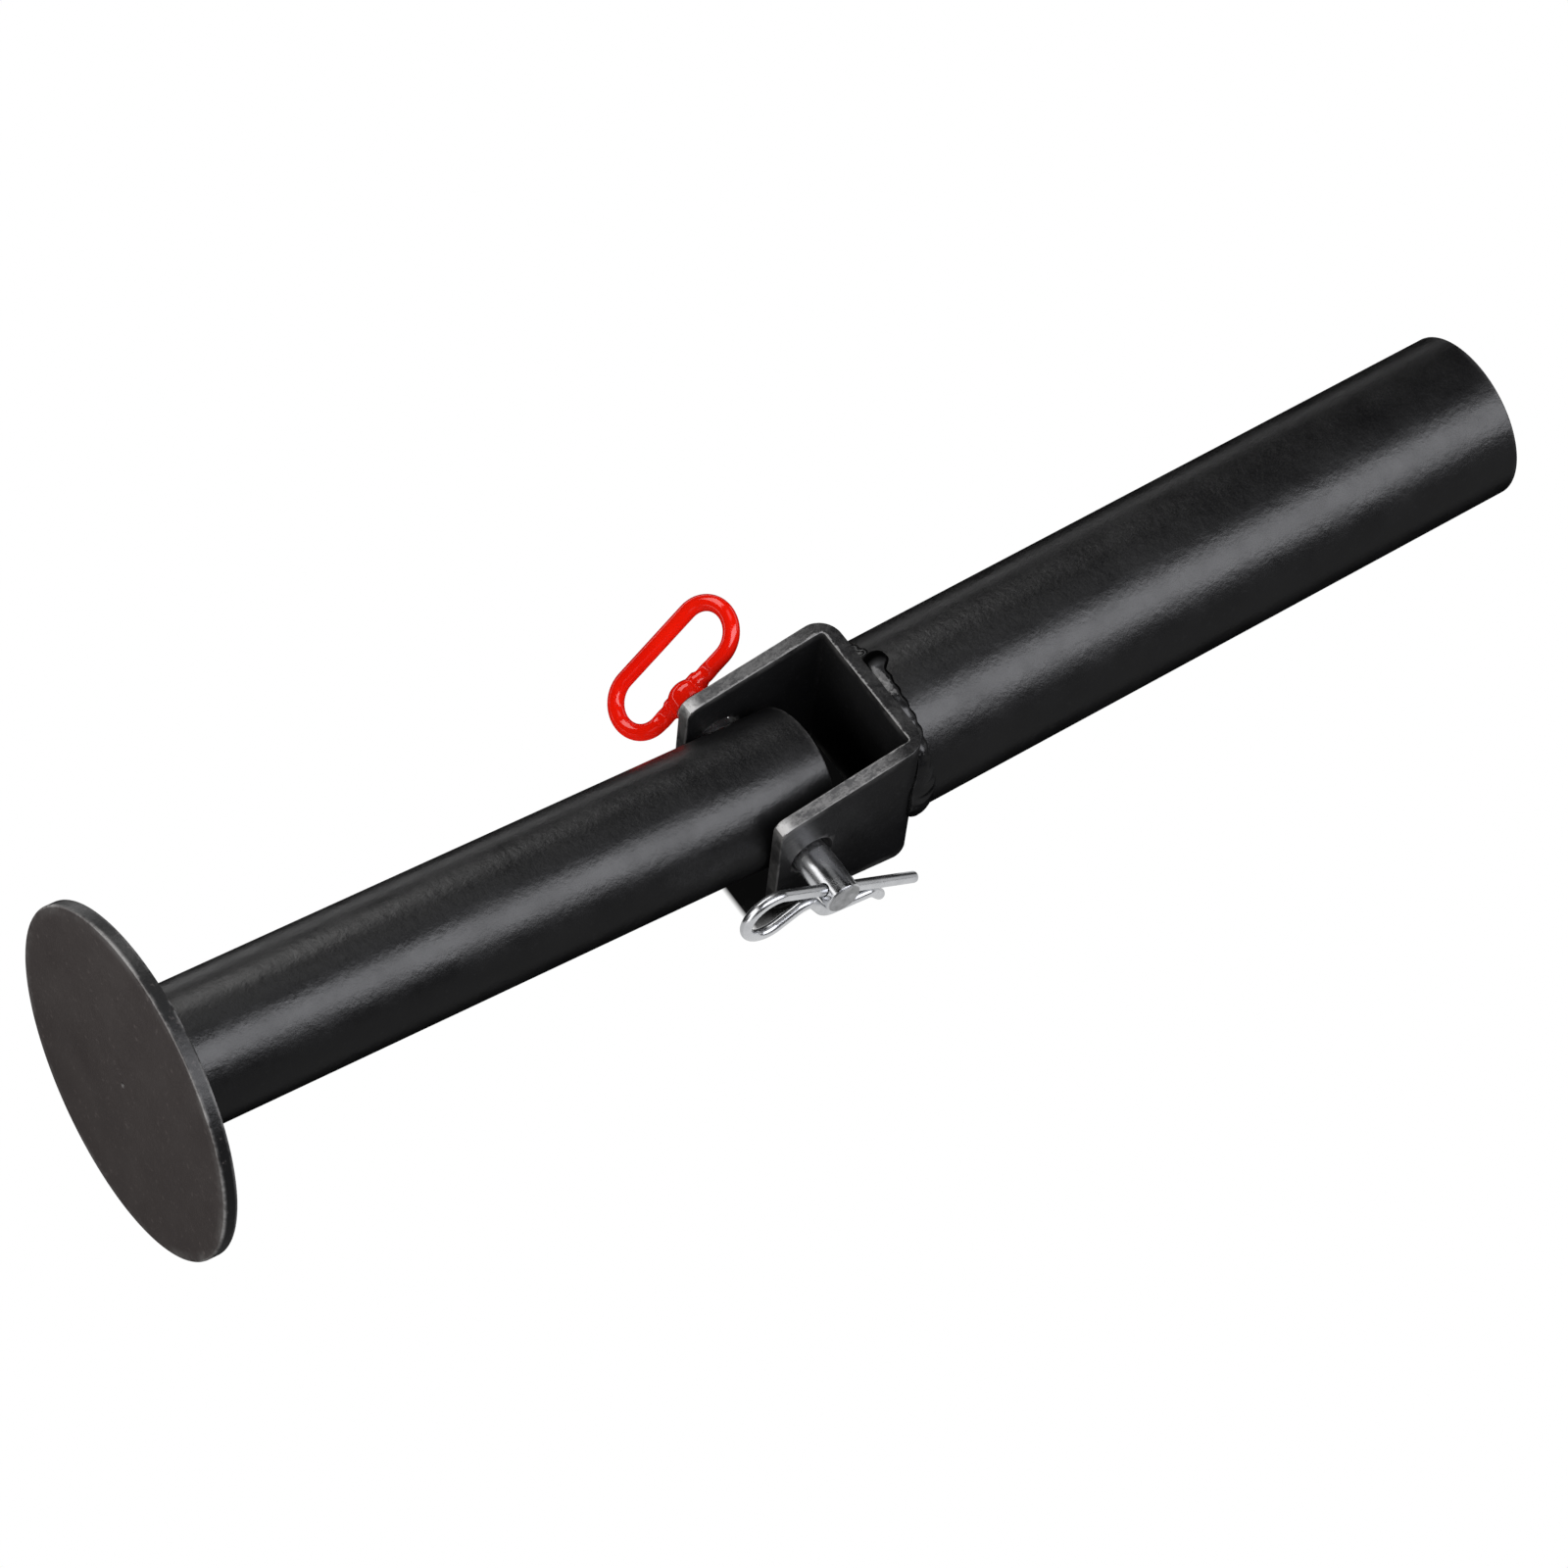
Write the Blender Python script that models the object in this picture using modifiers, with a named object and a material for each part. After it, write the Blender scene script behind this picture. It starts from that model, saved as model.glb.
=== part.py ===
"""Barbell pivot attachment: a disc-footed post that stands in weight plates, a clevis on a hitch pin, and a sleeve
that takes the end of a barbell. Units are metres, +Z is up, and the part lies on its side with the pin level.

Three frames carry the pieces. The hinge is the point where the pin axis crosses the tube axes. The sleeve frame has
its origin there and +X along the sleeve to its mouth. The post frame has the same origin and -X along the post to
the disc. In both, +Y runs along the pin to its red handle.
"""

import math

import bmesh
import bpy
from mathutils import Vector

MM = 0.001

# Clearances
SEAT_GAP = 0.3 * MM
PIN_CLEARANCE = 0.65 * MM
POST_SIDE_CLEARANCE = 1.0 * MM

# Post and base disc
POST_DIAMETER = 48.0 * MM
POST_WALL = 3.0 * MM
POST_LENGTH = 250.0 * MM
POST_PAST_PIN = 14.0 * MM
DISC_DIAMETER = 120.0 * MM
DISC_THICKNESS = 5.0 * MM
DISC_CHAMFER = 0.8 * MM
DIMPLE_DIAMETER = 2.4 * MM
DIMPLE_DEPTH = 0.7 * MM

# Clevis, bent from one flat bar. The bends are sharp inside and thinner than the bar
PLATE_THICKNESS = 5.0 * MM
BEND_INNER_RADIUS = 1.2 * MM
BEND_OUTER_RADIUS = 8.5 * MM
WEB_PAST_SLEEVE = 1.0 * MM
WEB_TO_PIN = 39.4 * MM
EAR_PAST_PIN = 13.4 * MM
EAR_END_WIDTH = 47.0 * MM
EAR_CORNER_RADIUS = 4.0 * MM

# Sleeve
SLEEVE_BORE = 52.0 * MM
SLEEVE_WALL = 4.0 * MM
SLEEVE_LENGTH = 250.0 * MM
TUBE_END_CHAMFER = 0.6 * MM

# Weld beads
SLEEVE_WELD_LEG = 4.6 * MM
SLEEVE_WELD_RISE = 1.5 * MM
SLEEVE_WELD_NOTCH = 5.5 * MM
DISC_WELD_LEG = 3.5 * MM
WELD_SWAY = 0.6 * MM
WELD_RIPPLE_DEPTH = 0.3 * MM
WELD_RIPPLES = 37
DISC_WELD_RIPPLES = 21
WELD_LUMP = 2.0 * MM
WELD_LUMP_ANGLE = math.radians(24.0)
WELD_LUMP_SPREAD = math.radians(5.0)
WELD_FLOOR_CLEARANCE = 0.1 * MM

# Hitch pin
PIN_DIAMETER = 12.7 * MM
PIN_TAIL_PAST_EAR = 19.2 * MM
PIN_TAIL_CHAMFER = 0.6 * MM
PIN_HEAD_CHAMFER = 2.0 * MM
CLIP_HOLE_FROM_TAIL = 4.9 * MM
HANDLE_HOLE_PAST_EAR = 14.1 * MM
HEAD_PAST_HANDLE_HOLE = 3.5 * MM

# Handle: a rod bent to a long loop, and the coating over the pin's head
HANDLE_ROD = 5.8 * MM
HANDLE_LENGTH = 58.8 * MM
HANDLE_WIDTH = 26.6 * MM
HANDLE_SHIFT = 2.5 * MM
HANDLE_LEAN = math.radians(43.0)
COATING = 0.8 * MM
COATING_ROUND = 3.4 * MM
COATING_SKIRT = 1.8 * MM
CRIMP_FROM_PIN = 11.0 * MM
CRIMP_LENGTH = 5.0 * MM
CRIMP_FLATTEN = 0.28

# Hairpin clip, in its own plane square to the pin
CLIP_WIRE = 4.0 * MM
CLIP_TIP_FROM_PIN = 39.5 * MM
CLIP_LOOP_FROM_PIN = 25.5 * MM
CLIP_LOOP_RADIUS = 9.3 * MM
CLIP_THROAT_FROM_PIN = 20.5 * MM
CLIP_TAIL_LENGTH = 7.0 * MM
CLIP_BEND_RADIUS = 5.0 * MM
CLIP_BOW_RADIUS = 7.0 * MM
CLIP_LEAN = math.radians(32.5)
CLIP_LOOP_EXIT = math.radians(55.0)
CLIP_BOW_RISE = math.radians(30.0)
CLIP_BOW_FALL = math.radians(22.0)
WIRE_END_LENGTH = 0.7 * MM
WIRE_END_TAPER = 0.72

# Facets
TUBE_STEPS = 64
DISC_STEPS = 96
PIN_STEPS = 40
WELD_STEPS = 112
DISC_WELD_STEPS = 64
BEND_STEPS = 9
CORNER_STEPS = 5
ARC_STEP = math.radians(15.0)
SHARP_ANGLE = math.radians(32.0)

# Worked out from the sizes above
POST_RADIUS = POST_DIAMETER / 2
DISC_RADIUS = DISC_DIAMETER / 2
DISC_INNER_X = POST_LENGTH - POST_PAST_PIN
EAR_INNER_Y = POST_RADIUS + POST_SIDE_CLEARANCE
EAR_OUTER_Y = EAR_INNER_Y + PLATE_THICKNESS
WEB_BACK_X = WEB_TO_PIN + PLATE_THICKNESS
BEND_X = WEB_BACK_X - BEND_OUTER_RADIUS
BEND_Y = EAR_OUTER_Y - BEND_OUTER_RADIUS
SLEEVE_RADIUS = SLEEVE_BORE / 2 + SLEEVE_WALL
WEB_HALF = SLEEVE_RADIUS + WEB_PAST_SLEEVE
WEB_WIDTH = WEB_HALF * 2
SLEEVE_START_X = WEB_BACK_X + SEAT_GAP
SLEEVE_END_X = SLEEVE_START_X + SLEEVE_LENGTH
PIN_RADIUS = PIN_DIAMETER / 2
PIN_HOLE_RADIUS = PIN_RADIUS + PIN_CLEARANCE
PIN_TAIL_Y = -(EAR_OUTER_Y + PIN_TAIL_PAST_EAR)
CLIP_Y = PIN_TAIL_Y + CLIP_HOLE_FROM_TAIL
HANDLE_Y = EAR_OUTER_Y + HANDLE_HOLE_PAST_EAR
PIN_HEAD_Y = HANDLE_Y + HEAD_PAST_HANDLE_HOLE
HANDLE_BEND_RADIUS = (HANDLE_WIDTH - HANDLE_ROD) / 2
HANDLE_STRAIGHT = HANDLE_LENGTH - HANDLE_WIDTH


def clear_scene():
    for obj in list(bpy.data.objects):
        bpy.data.objects.remove(obj, do_unlink=True)


def new_collection(name):
    collection = bpy.data.collections.new(name)
    bpy.context.scene.collection.children.link(collection)
    return collection


def new_frame(name, collection, parent=None, location=(0, 0, 0), turn_y=0.0):
    empty = bpy.data.objects.new(name, None)
    empty.empty_display_size = 20 * MM
    empty.location = location
    empty.rotation_euler = (0, turn_y, 0)
    empty.parent = parent
    collection.objects.link(empty)
    return empty


def material(name, colour, roughness, metallic):
    mat = bpy.data.materials.new(name)
    mat.use_nodes = True
    shader = mat.node_tree.nodes["Principled BSDF"]
    shader.inputs["Base Color"].default_value = (*colour, 1.0)
    shader.inputs["Roughness"].default_value = roughness
    shader.inputs["Metallic"].default_value = metallic
    return mat


def place(name, mesh, collection, frame, turn=(0, 0, 0)):
    obj = bpy.data.objects.new(name, mesh)
    obj.parent = frame
    obj.rotation_euler = turn
    collection.objects.link(obj)
    return obj


def finish(obj, mat):
    obj.data.materials.clear()
    obj.data.materials.append(mat)
    obj.data.shade_smooth()
    obj.data.set_sharp_from_angle(angle=SHARP_ANGLE)


# A turned piece: the profile is (radius, height) down its outer side, spun about the local Z axis.
ALONG_X = (0, math.pi / 2, 0)
ALONG_Y = (-math.pi / 2, 0, 0)


def turned(name, profile, collection, frame, turn, steps, ring=False):
    mesh = bpy.data.meshes.new(name)
    edges = [(i, i + 1) for i in range(len(profile) - 1)]
    if ring:
        edges.append((len(profile) - 1, 0))
    mesh.from_pydata([(r, 0, z) for r, z in profile], edges, [])
    obj = place(name, mesh, collection, frame, turn)
    screw = obj.modifiers.new("turn", "SCREW")
    screw.steps = steps
    screw.render_steps = steps
    screw.use_merge_vertices = True
    screw.merge_threshold = 0.00001
    screw.use_smooth_shade = True
    return obj


def tube_profile(outer, bore, low, high, chamfer):
    return [
        (outer - chamfer, high),
        (outer, high - chamfer),
        (outer, low + chamfer),
        (outer - chamfer, low),
        (bore, low),
        (bore, high),
    ]


def round_cutter(name, radius, length, centre, turn, frame, cutters, steps=PIN_STEPS):
    mesh = bpy.data.meshes.new(name)
    bm = bmesh.new()
    bmesh.ops.create_cone(bm, cap_ends=True, segments=steps, radius1=radius, radius2=radius, depth=length)
    bm.to_mesh(mesh)
    bm.free()
    obj = place(name, mesh, cutters, frame, turn)
    obj.location = centre
    obj.display_type = "WIRE"
    obj.hide_render = True
    return obj


def cut(obj, cutter):
    boolean = obj.modifiers.new(cutter.name, "BOOLEAN")
    boolean.operation = "DIFFERENCE"
    boolean.solver = "EXACT"
    boolean.object = cutter


# Round wire along a line of points. A point is (x, y, z, radius factor).
def wire_curve(name, points, diameter, collection, frame, sides_level, cyclic=False):
    curve = bpy.data.curves.new(name, "CURVE")
    curve.dimensions = "3D"
    curve.twist_mode = "MINIMUM"
    curve.bevel_depth = diameter / 2
    curve.bevel_resolution = sides_level
    curve.use_fill_caps = not cyclic
    spline = curve.splines.new("POLY")
    spline.points.add(len(points) - 1)
    for point, (x, y, z, factor) in zip(spline.points, points):
        point.co = (x, y, z, 1.0)
        point.radius = factor
    spline.use_cyclic_u = cyclic
    return place(name, curve, collection, frame)


def curve_to_mesh(obj, collection):
    bpy.context.view_layer.update()
    evaluated = obj.evaluated_get(bpy.context.evaluated_depsgraph_get())
    mesh = bpy.data.meshes.new_from_object(evaluated)
    bm = bmesh.new()
    bm.from_mesh(mesh)
    bmesh.ops.remove_doubles(bm, verts=bm.verts, dist=0.00001)
    bmesh.ops.recalc_face_normals(bm, faces=bm.faces)
    bm.to_mesh(mesh)
    bm.free()
    name = obj.name
    frame = obj.parent
    obj.name = name + "_curve"
    solid = place(name, mesh, collection, frame)
    bpy.data.objects.remove(obj, do_unlink=True)
    return solid


def arc_points(centre, radius, start, end, step=ARC_STEP):
    count = max(2, math.ceil(abs(end - start) / step))
    angles = [start + (end - start) * i / count for i in range(count + 1)]
    return [(centre[0] + radius * math.cos(a), centre[1] + radius * math.sin(a)) for a in angles]


def rounded_corner(before, corner, after, radius):
    corner = Vector(corner)
    back = (Vector(before) - corner).normalized()
    ahead = (Vector(after) - corner).normalized()
    half = math.acos(max(-1.0, min(1.0, back.dot(ahead)))) / 2
    centre = corner + (back + ahead).normalized() * radius / math.sin(half)
    start = corner + back * radius / math.tan(half) - centre
    end = corner + ahead * radius / math.tan(half) - centre
    first = math.atan2(start.y, start.x)
    sweep = math.atan2(end.y, end.x) - first
    sweep = (sweep + math.pi) % (2 * math.pi) - math.pi
    return arc_points(centre, radius, first, first + sweep)


def crossing(point_a, angle_a, point_b, angle_b):
    """Where the line through point_a at angle_a meets the line through point_b at angle_b."""
    ax, az = math.cos(angle_a), math.sin(angle_a)
    bx, bz = math.cos(angle_b), math.sin(angle_b)
    dx, dz = point_b[0] - point_a[0], point_b[1] - point_a[1]
    along = (dx * bz - dz * bx) / (ax * bz - az * bx)
    return (point_a[0] + along * ax, point_a[1] + along * az)


# Base disc: a flat round plate with a broken edge and the dimple that its turning centre left. The land under the
# post and its weld lies lower by the seating gap, so that the plates' seat is level with the post's end.
def make_base_disc(parts, frame, mat):
    outer = -(DISC_INNER_X + DISC_THICKNESS)
    inner = -DISC_INNER_X
    land_radius = POST_RADIUS + DISC_WELD_LEG + 2 * SEAT_GAP
    profile = [
        (0, inner - SEAT_GAP),
        (land_radius, inner - SEAT_GAP),
        (land_radius, inner),
        (DISC_RADIUS - DISC_CHAMFER, inner),
        (DISC_RADIUS, inner - DISC_CHAMFER),
        (DISC_RADIUS, outer + DISC_CHAMFER),
        (DISC_RADIUS - DISC_CHAMFER, outer),
        (DIMPLE_DIAMETER / 2, outer),
        (0, outer + DIMPLE_DEPTH),
    ]
    disc = turned("base_disc", profile, parts, frame, ALONG_X, DISC_STEPS)
    finish(disc, mat)


# Post: a plain tube, square at its upper end, drilled across for the pin.
def make_post_tube(parts, cutters, frame, mat):
    profile = tube_profile(
        POST_RADIUS,
        POST_RADIUS - POST_WALL,
        POST_PAST_PIN - POST_LENGTH,
        POST_PAST_PIN,
        TUBE_END_CHAMFER,
    )
    post = turned("post_tube", profile, parts, frame, ALONG_X, TUBE_STEPS, ring=True)
    drill = round_cutter(
        "post_pin_hole", PIN_HOLE_RADIUS, POST_DIAMETER * 1.5, (0, 0, 0), ALONG_Y, frame, cutters
    )
    cut(post, drill)
    finish(post, mat)


def ripple(angle, waves, depth):
    return depth * (0.5 + 0.5 * math.cos(waves * angle))


# A weld bead: a loop of sections around the X axis, each a closed list of (radius, x), joined by faces.
def bead(name, sections, parts, frame):
    mesh = bpy.data.meshes.new(name)
    bm = bmesh.new()
    rings = []
    for i, section in enumerate(sections):
        angle = 2 * math.pi * i / len(sections)
        rings.append([bm.verts.new((x, r * math.sin(angle), r * math.cos(angle))) for r, x in section])
    for i, ring in enumerate(rings):
        following = rings[(i + 1) % len(rings)]
        for j, vertex in enumerate(ring):
            k = (j + 1) % len(ring)
            bm.faces.new((vertex, ring[k], following[k], following[j]))
    bmesh.ops.recalc_face_normals(bm, faces=bm.faces)
    bm.to_mesh(mesh)
    bm.free()
    return place(name, mesh, parts, frame)


# Fillet between the disc's inner face and the post.
def make_disc_weld(parts, frame, mat):
    sections = []
    root = POST_RADIUS + SEAT_GAP
    face = -DISC_INNER_X
    for i in range(DISC_WELD_STEPS):
        angle = 2 * math.pi * i / DISC_WELD_STEPS
        leg = DISC_WELD_LEG - ripple(angle, DISC_WELD_RIPPLES, WELD_RIPPLE_DEPTH)
        bulge = leg * 0.62
        sections.append(
            [(root, face), (root, face + leg), (root + bulge, face + bulge), (root + leg, face)]
        )
    weld = bead("disc_weld", sections, parts, frame)
    finish(weld, mat)


# Half-height of the clevis blank at a place x along the ear, with its taper and its rounded end corner.
def blank_half_height(x):
    share = (BEND_X - x) / (BEND_X + EAR_PAST_PIN)
    half = WEB_HALF - (WEB_HALF - EAR_END_WIDTH / 2) * max(0.0, share)
    from_end = x + EAR_PAST_PIN
    if from_end < EAR_CORNER_RADIUS:
        inset = EAR_CORNER_RADIUS - from_end
        half -= EAR_CORNER_RADIUS - math.sqrt(max(0.0, EAR_CORNER_RADIUS**2 - inset**2))
    return half


# How far the inside of the U is from the centre of the outer bend, at an angle round that centre.
def bend_inner_reach(angle):
    across = WEB_TO_PIN - BEND_X
    flat = across - BEND_INNER_RADIUS
    slope = min(math.tan(angle), 1 / math.tan(angle)) if 0 < angle < math.pi / 2 - 1e-6 else 0.0
    if across * slope <= flat:
        return across / max(math.cos(angle), math.sin(angle))
    along = flat * (math.cos(angle) + math.sin(angle))
    return along + math.sqrt(along**2 - 2 * flat**2 + BEND_INNER_RADIUS**2)


# Stations along half the U, from the middle of the web to the end of one ear: (inner x, y, outer x, y).
def clevis_stations():
    stations = [(WEB_TO_PIN, 0.0, WEB_BACK_X, 0.0)]
    for i in range(BEND_STEPS + 1):
        angle = math.pi / 2 * i / BEND_STEPS
        inner = bend_inner_reach(angle)
        stations.append(
            (
                BEND_X + inner * math.cos(angle),
                BEND_Y + inner * math.sin(angle),
                BEND_X + BEND_OUTER_RADIUS * math.cos(angle),
                BEND_Y + BEND_OUTER_RADIUS * math.sin(angle),
            )
        )
    for i in range(CORNER_STEPS + 1):
        angle = math.pi / 2 * i / CORNER_STEPS
        x = -EAR_PAST_PIN + EAR_CORNER_RADIUS * (1 - math.sin(angle))
        stations.append((x, EAR_INNER_Y, x, EAR_OUTER_Y))
    return stations


# Clevis: half the bent bar as a solid between the stations, mirrored, and drilled through both ears.
def make_clevis(parts, cutters, frame, mat):
    mesh = bpy.data.meshes.new("clevis_bracket")
    verts = []
    for inner_x, inner_y, outer_x, outer_y in clevis_stations():
        half = blank_half_height(inner_x)
        verts += [(inner_x, inner_y, -half), (inner_x, inner_y, half)]
        verts += [(outer_x, outer_y, half), (outer_x, outer_y, -half)]
    faces = []
    for low in range(0, len(verts) - 4, 4):
        for k in range(4):
            first, second = low + k, low + (k + 1) % 4
            faces.append((first, second, second + 4, first + 4))
    faces.append(tuple(range(len(verts) - 4, len(verts))))
    mesh.from_pydata(verts, [], faces)
    clevis = place("clevis_bracket", mesh, parts, frame)
    mirror = clevis.modifiers.new("two ears", "MIRROR")
    mirror.use_axis = (False, True, False)
    mirror.merge_threshold = 0.00001
    drill = round_cutter(
        "ear_pin_holes", PIN_HOLE_RADIUS, EAR_OUTER_Y * 3, (0, 0, 0), ALONG_Y, frame, cutters
    )
    cut(clevis, drill)
    finish(clevis, mat)


# Sleeve: the wide tube for the bar, with its ends broken.
def make_sleeve_tube(parts, frame, mat):
    profile = tube_profile(SLEEVE_RADIUS, SLEEVE_BORE / 2, SLEEVE_START_X, SLEEVE_END_X, TUBE_END_CHAMFER)
    sleeve = turned("sleeve_tube", profile, parts, frame, ALONG_X, TUBE_STEPS, ring=True)
    finish(sleeve, mat)


# One section of the sleeve weld. It is widest on the web's corners and kept off the floor on the lower side.
def sleeve_weld_section(angle):
    root = SLEEVE_RADIUS + SEAT_GAP
    notch_root = SLEEVE_RADIUS - SLEEVE_WALL * 0.75
    end = SLEEVE_START_X
    back = end - SLEEVE_WELD_NOTCH
    lump = math.exp(-(((angle - WELD_LUMP_ANGLE) / WELD_LUMP_SPREAD) ** 2))
    sway = WELD_SWAY * (math.sin(3 * angle + 0.6) + 0.7 * math.sin(7 * angle)) / 1.7
    toe = end + SLEEVE_WELD_LEG + sway - ripple(angle, WELD_RIPPLES, 2 * WELD_RIPPLE_DEPTH) + WELD_LUMP * lump
    crown = root + SLEEVE_WELD_RISE * (1 + 0.35 * abs(math.sin(2 * angle)))
    crown += WELD_LUMP * lump - ripple(angle, WELD_RIPPLES, WELD_RIPPLE_DEPTH)
    if math.cos(angle) < 0:
        crown = min(crown, (WEB_HALF - WELD_FLOOR_CLEARANCE) / -math.cos(angle))
    rise = crown - root
    return [
        (notch_root, back),
        (SLEEVE_RADIUS + rise * 0.1, back),
        (crown - rise * 0.15, end - SLEEVE_WELD_NOTCH * 0.25),
        (crown, end + SLEEVE_WELD_LEG * 0.2),
        (crown - rise * 0.25, end + (toe - end) * 0.6),
        (crown - rise * 0.6, end + (toe - end) * 0.88),
        (root, toe),
        (root, end - SEAT_GAP),
        (notch_root, end - SEAT_GAP),
    ]


# The back of the clevis with its seating gap, as a solid to cut from the weld.
def clevis_back_cutter(frame, cutters):
    radius = BEND_OUTER_RADIUS + SEAT_GAP
    upper = arc_points((BEND_X, BEND_Y), radius, 0.0, math.pi / 2, math.radians(6.0)) + [(0.0, BEND_Y + radius)]
    outline = [(x, -y) for x, y in reversed(upper)] + upper
    verts = [(x, y, side * WEB_WIDTH) for side in (-1, 1) for x, y in outline]
    count = len(outline)
    faces = [tuple(reversed(range(count))), tuple(range(count, 2 * count))]
    faces += [(i, (i + 1) % count, (i + 1) % count + count, i + count) for i in range(count)]
    mesh = bpy.data.meshes.new("clevis_back")
    mesh.from_pydata(verts, [], faces)
    cutter = place("clevis_back", mesh, cutters, frame)
    cutter.display_type = "WIRE"
    cutter.hide_render = True
    return cutter


# Sleeve weld: a rippled bead that fills the groove between the bends and the sleeve, with a lump near the top.
def make_sleeve_weld(parts, cutters, frame, mat):
    sections = [sleeve_weld_section(2 * math.pi * i / WELD_STEPS) for i in range(WELD_STEPS)]
    weld = bead("sleeve_weld", sections, parts, frame)
    cut(weld, clevis_back_cutter(frame, cutters))
    finish(weld, mat)


# Hitch pin: plain round bar, chamfered at its tail, rounded at its head, drilled across for clip and handle.
def make_hitch_pin(parts, cutters, frame, clip_frame, handle_frame, mat):
    profile = [
        (0, PIN_HEAD_Y),
        (PIN_RADIUS - PIN_HEAD_CHAMFER, PIN_HEAD_Y),
        (PIN_RADIUS - PIN_HEAD_CHAMFER * 0.3, PIN_HEAD_Y - PIN_HEAD_CHAMFER * 0.5),
        (PIN_RADIUS, PIN_HEAD_Y - PIN_HEAD_CHAMFER * 1.4),
        (PIN_RADIUS, PIN_TAIL_Y + PIN_TAIL_CHAMFER),
        (PIN_RADIUS - PIN_TAIL_CHAMFER, PIN_TAIL_Y),
        (0, PIN_TAIL_Y),
    ]
    pin = turned("hitch_pin", profile, parts, frame, ALONG_Y, PIN_STEPS)
    clip_hole = round_cutter(
        "clip_hole",
        CLIP_WIRE / 2 + SEAT_GAP,
        PIN_DIAMETER * 2,
        (0, 0, 0),
        ALONG_X,
        clip_frame,
        cutters,
        24,
    )
    handle_hole = round_cutter(
        "handle_hole",
        HANDLE_ROD / 2 + SEAT_GAP,
        PIN_DIAMETER * 2,
        (0, 0, 0),
        ALONG_X,
        handle_frame,
        cutters,
        24,
    )
    cut(pin, clip_hole)
    cut(pin, handle_hole)
    finish(pin, mat)


# Centre line of the handle in its own plane: two straight sides and two half circles. The near side crosses the pin.
def handle_path():
    right = HANDLE_SHIFT + HANDLE_STRAIGHT / 2
    left = HANDLE_SHIFT - HANDLE_STRAIGHT / 2
    radius = HANDLE_BEND_RADIUS
    near = [(left + (right - left) * i / 26, 0.0) for i in range(27)]
    turn_right = arc_points((right, radius), radius, -math.pi / 2, math.pi / 2)
    turn_left = arc_points((left, radius), radius, math.pi / 2, 3 * math.pi / 2)
    return near + turn_right[1:] + turn_left[:-1]


# The two crimps beside the pin: the near side is pressed flat there and spreads a little.
def press_crimps(obj):
    for vertex in obj.data.vertices:
        x, y, z = vertex.co
        if y > HANDLE_BEND_RADIUS:
            continue
        from_crimp = (abs(x) - CRIMP_FROM_PIN) / (CRIMP_LENGTH / 2)
        press = max(0.0, 1 - from_crimp**2)
        vertex.co = (x, y * (1 + 0.4 * CRIMP_FLATTEN * press), z * (1 - CRIMP_FLATTEN * press))


# Red handle: the rod loop, joined with the coating that covers the pin's head like a cap.
def make_handle(parts, cutters, handle_frame, mat):
    points = [(x, y, 0.0, 1.0) for x, y in handle_path()]
    curve = wire_curve("pin_handle", points, HANDLE_ROD, parts, handle_frame, 4, cyclic=True)
    handle = curve_to_mesh(curve, parts)
    press_crimps(handle)
    cap_radius = PIN_RADIUS + SEAT_GAP + COATING
    cavity_radius = PIN_RADIUS + SEAT_GAP
    head = HEAD_PAST_HANDLE_HOLE
    cavity_end = head + SEAT_GAP
    cap_end = cavity_end + COATING
    skirt = -(HANDLE_ROD / 2 + COATING_SKIRT)
    round_centre = (cap_radius - COATING_ROUND, cap_end - COATING_ROUND)
    profile = [(0, cap_end)] + arc_points(round_centre, COATING_ROUND, math.pi / 2, 0.0, math.radians(30.0))
    profile += [
        (cap_radius, skirt + COATING * 0.5),
        (cap_radius - COATING * 0.5, skirt),
        (cavity_radius, skirt),
        (cavity_radius, head - PIN_HEAD_CHAMFER * 1.3),
        (cavity_radius - PIN_HEAD_CHAMFER * 0.3, head - PIN_HEAD_CHAMFER * 0.4),
        (cavity_radius - PIN_HEAD_CHAMFER, cavity_end),
        (0, cavity_end),
    ]
    cap = turned("head_coating", profile, cutters, handle_frame, ALONG_Y, PIN_STEPS)
    cap.display_type = "WIRE"
    cap.hide_render = True
    join = handle.modifiers.new("coating over the head", "BOOLEAN")
    join.operation = "UNION"
    join.solver = "EXACT"
    join.object = cap
    finish(handle, mat)


# Centre line of the clip in its own plane. +X runs along the straight leg to its tip, and the bow is at +Z here.
def clip_path():
    shank = PIN_RADIUS + CLIP_WIRE / 2 + SEAT_GAP
    radius = CLIP_LOOP_RADIUS
    centre = (-CLIP_LOOP_FROM_PIN, radius)
    loop = arc_points(centre, radius, -math.pi / 2, -3 * math.pi / 2 - CLIP_LOOP_EXIT)
    rise_point = (-shank * math.sin(CLIP_BOW_RISE), shank * math.cos(CLIP_BOW_RISE))
    throat_dip = CLIP_BEND_RADIUS * (1 / math.cos(CLIP_BOW_FALL) - 1)
    throat = (CLIP_THROAT_FROM_PIN, CLIP_WIRE + SEAT_GAP - throat_dip)
    neck = crossing(loop[-1], -CLIP_LOOP_EXIT, rise_point, CLIP_BOW_RISE)
    bow = crossing(rise_point, CLIP_BOW_RISE, throat, -CLIP_BOW_FALL)
    tail = (
        throat[0] + CLIP_TAIL_LENGTH * math.cos(CLIP_BOW_FALL),
        throat[1] + CLIP_TAIL_LENGTH * math.sin(CLIP_BOW_FALL),
    )
    path = [(CLIP_TIP_FROM_PIN, 0.0)] + loop
    path += rounded_corner(loop[-1], neck, bow, CLIP_BEND_RADIUS)
    path += rounded_corner(neck, bow, throat, CLIP_BOW_RADIUS)
    path += rounded_corner(bow, throat, tail, CLIP_BEND_RADIUS)
    return path + [tail]


def toward(point, other, distance):
    step = (Vector(other) - Vector(point)).normalized() * distance
    return tuple(Vector(point) + step)


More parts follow.
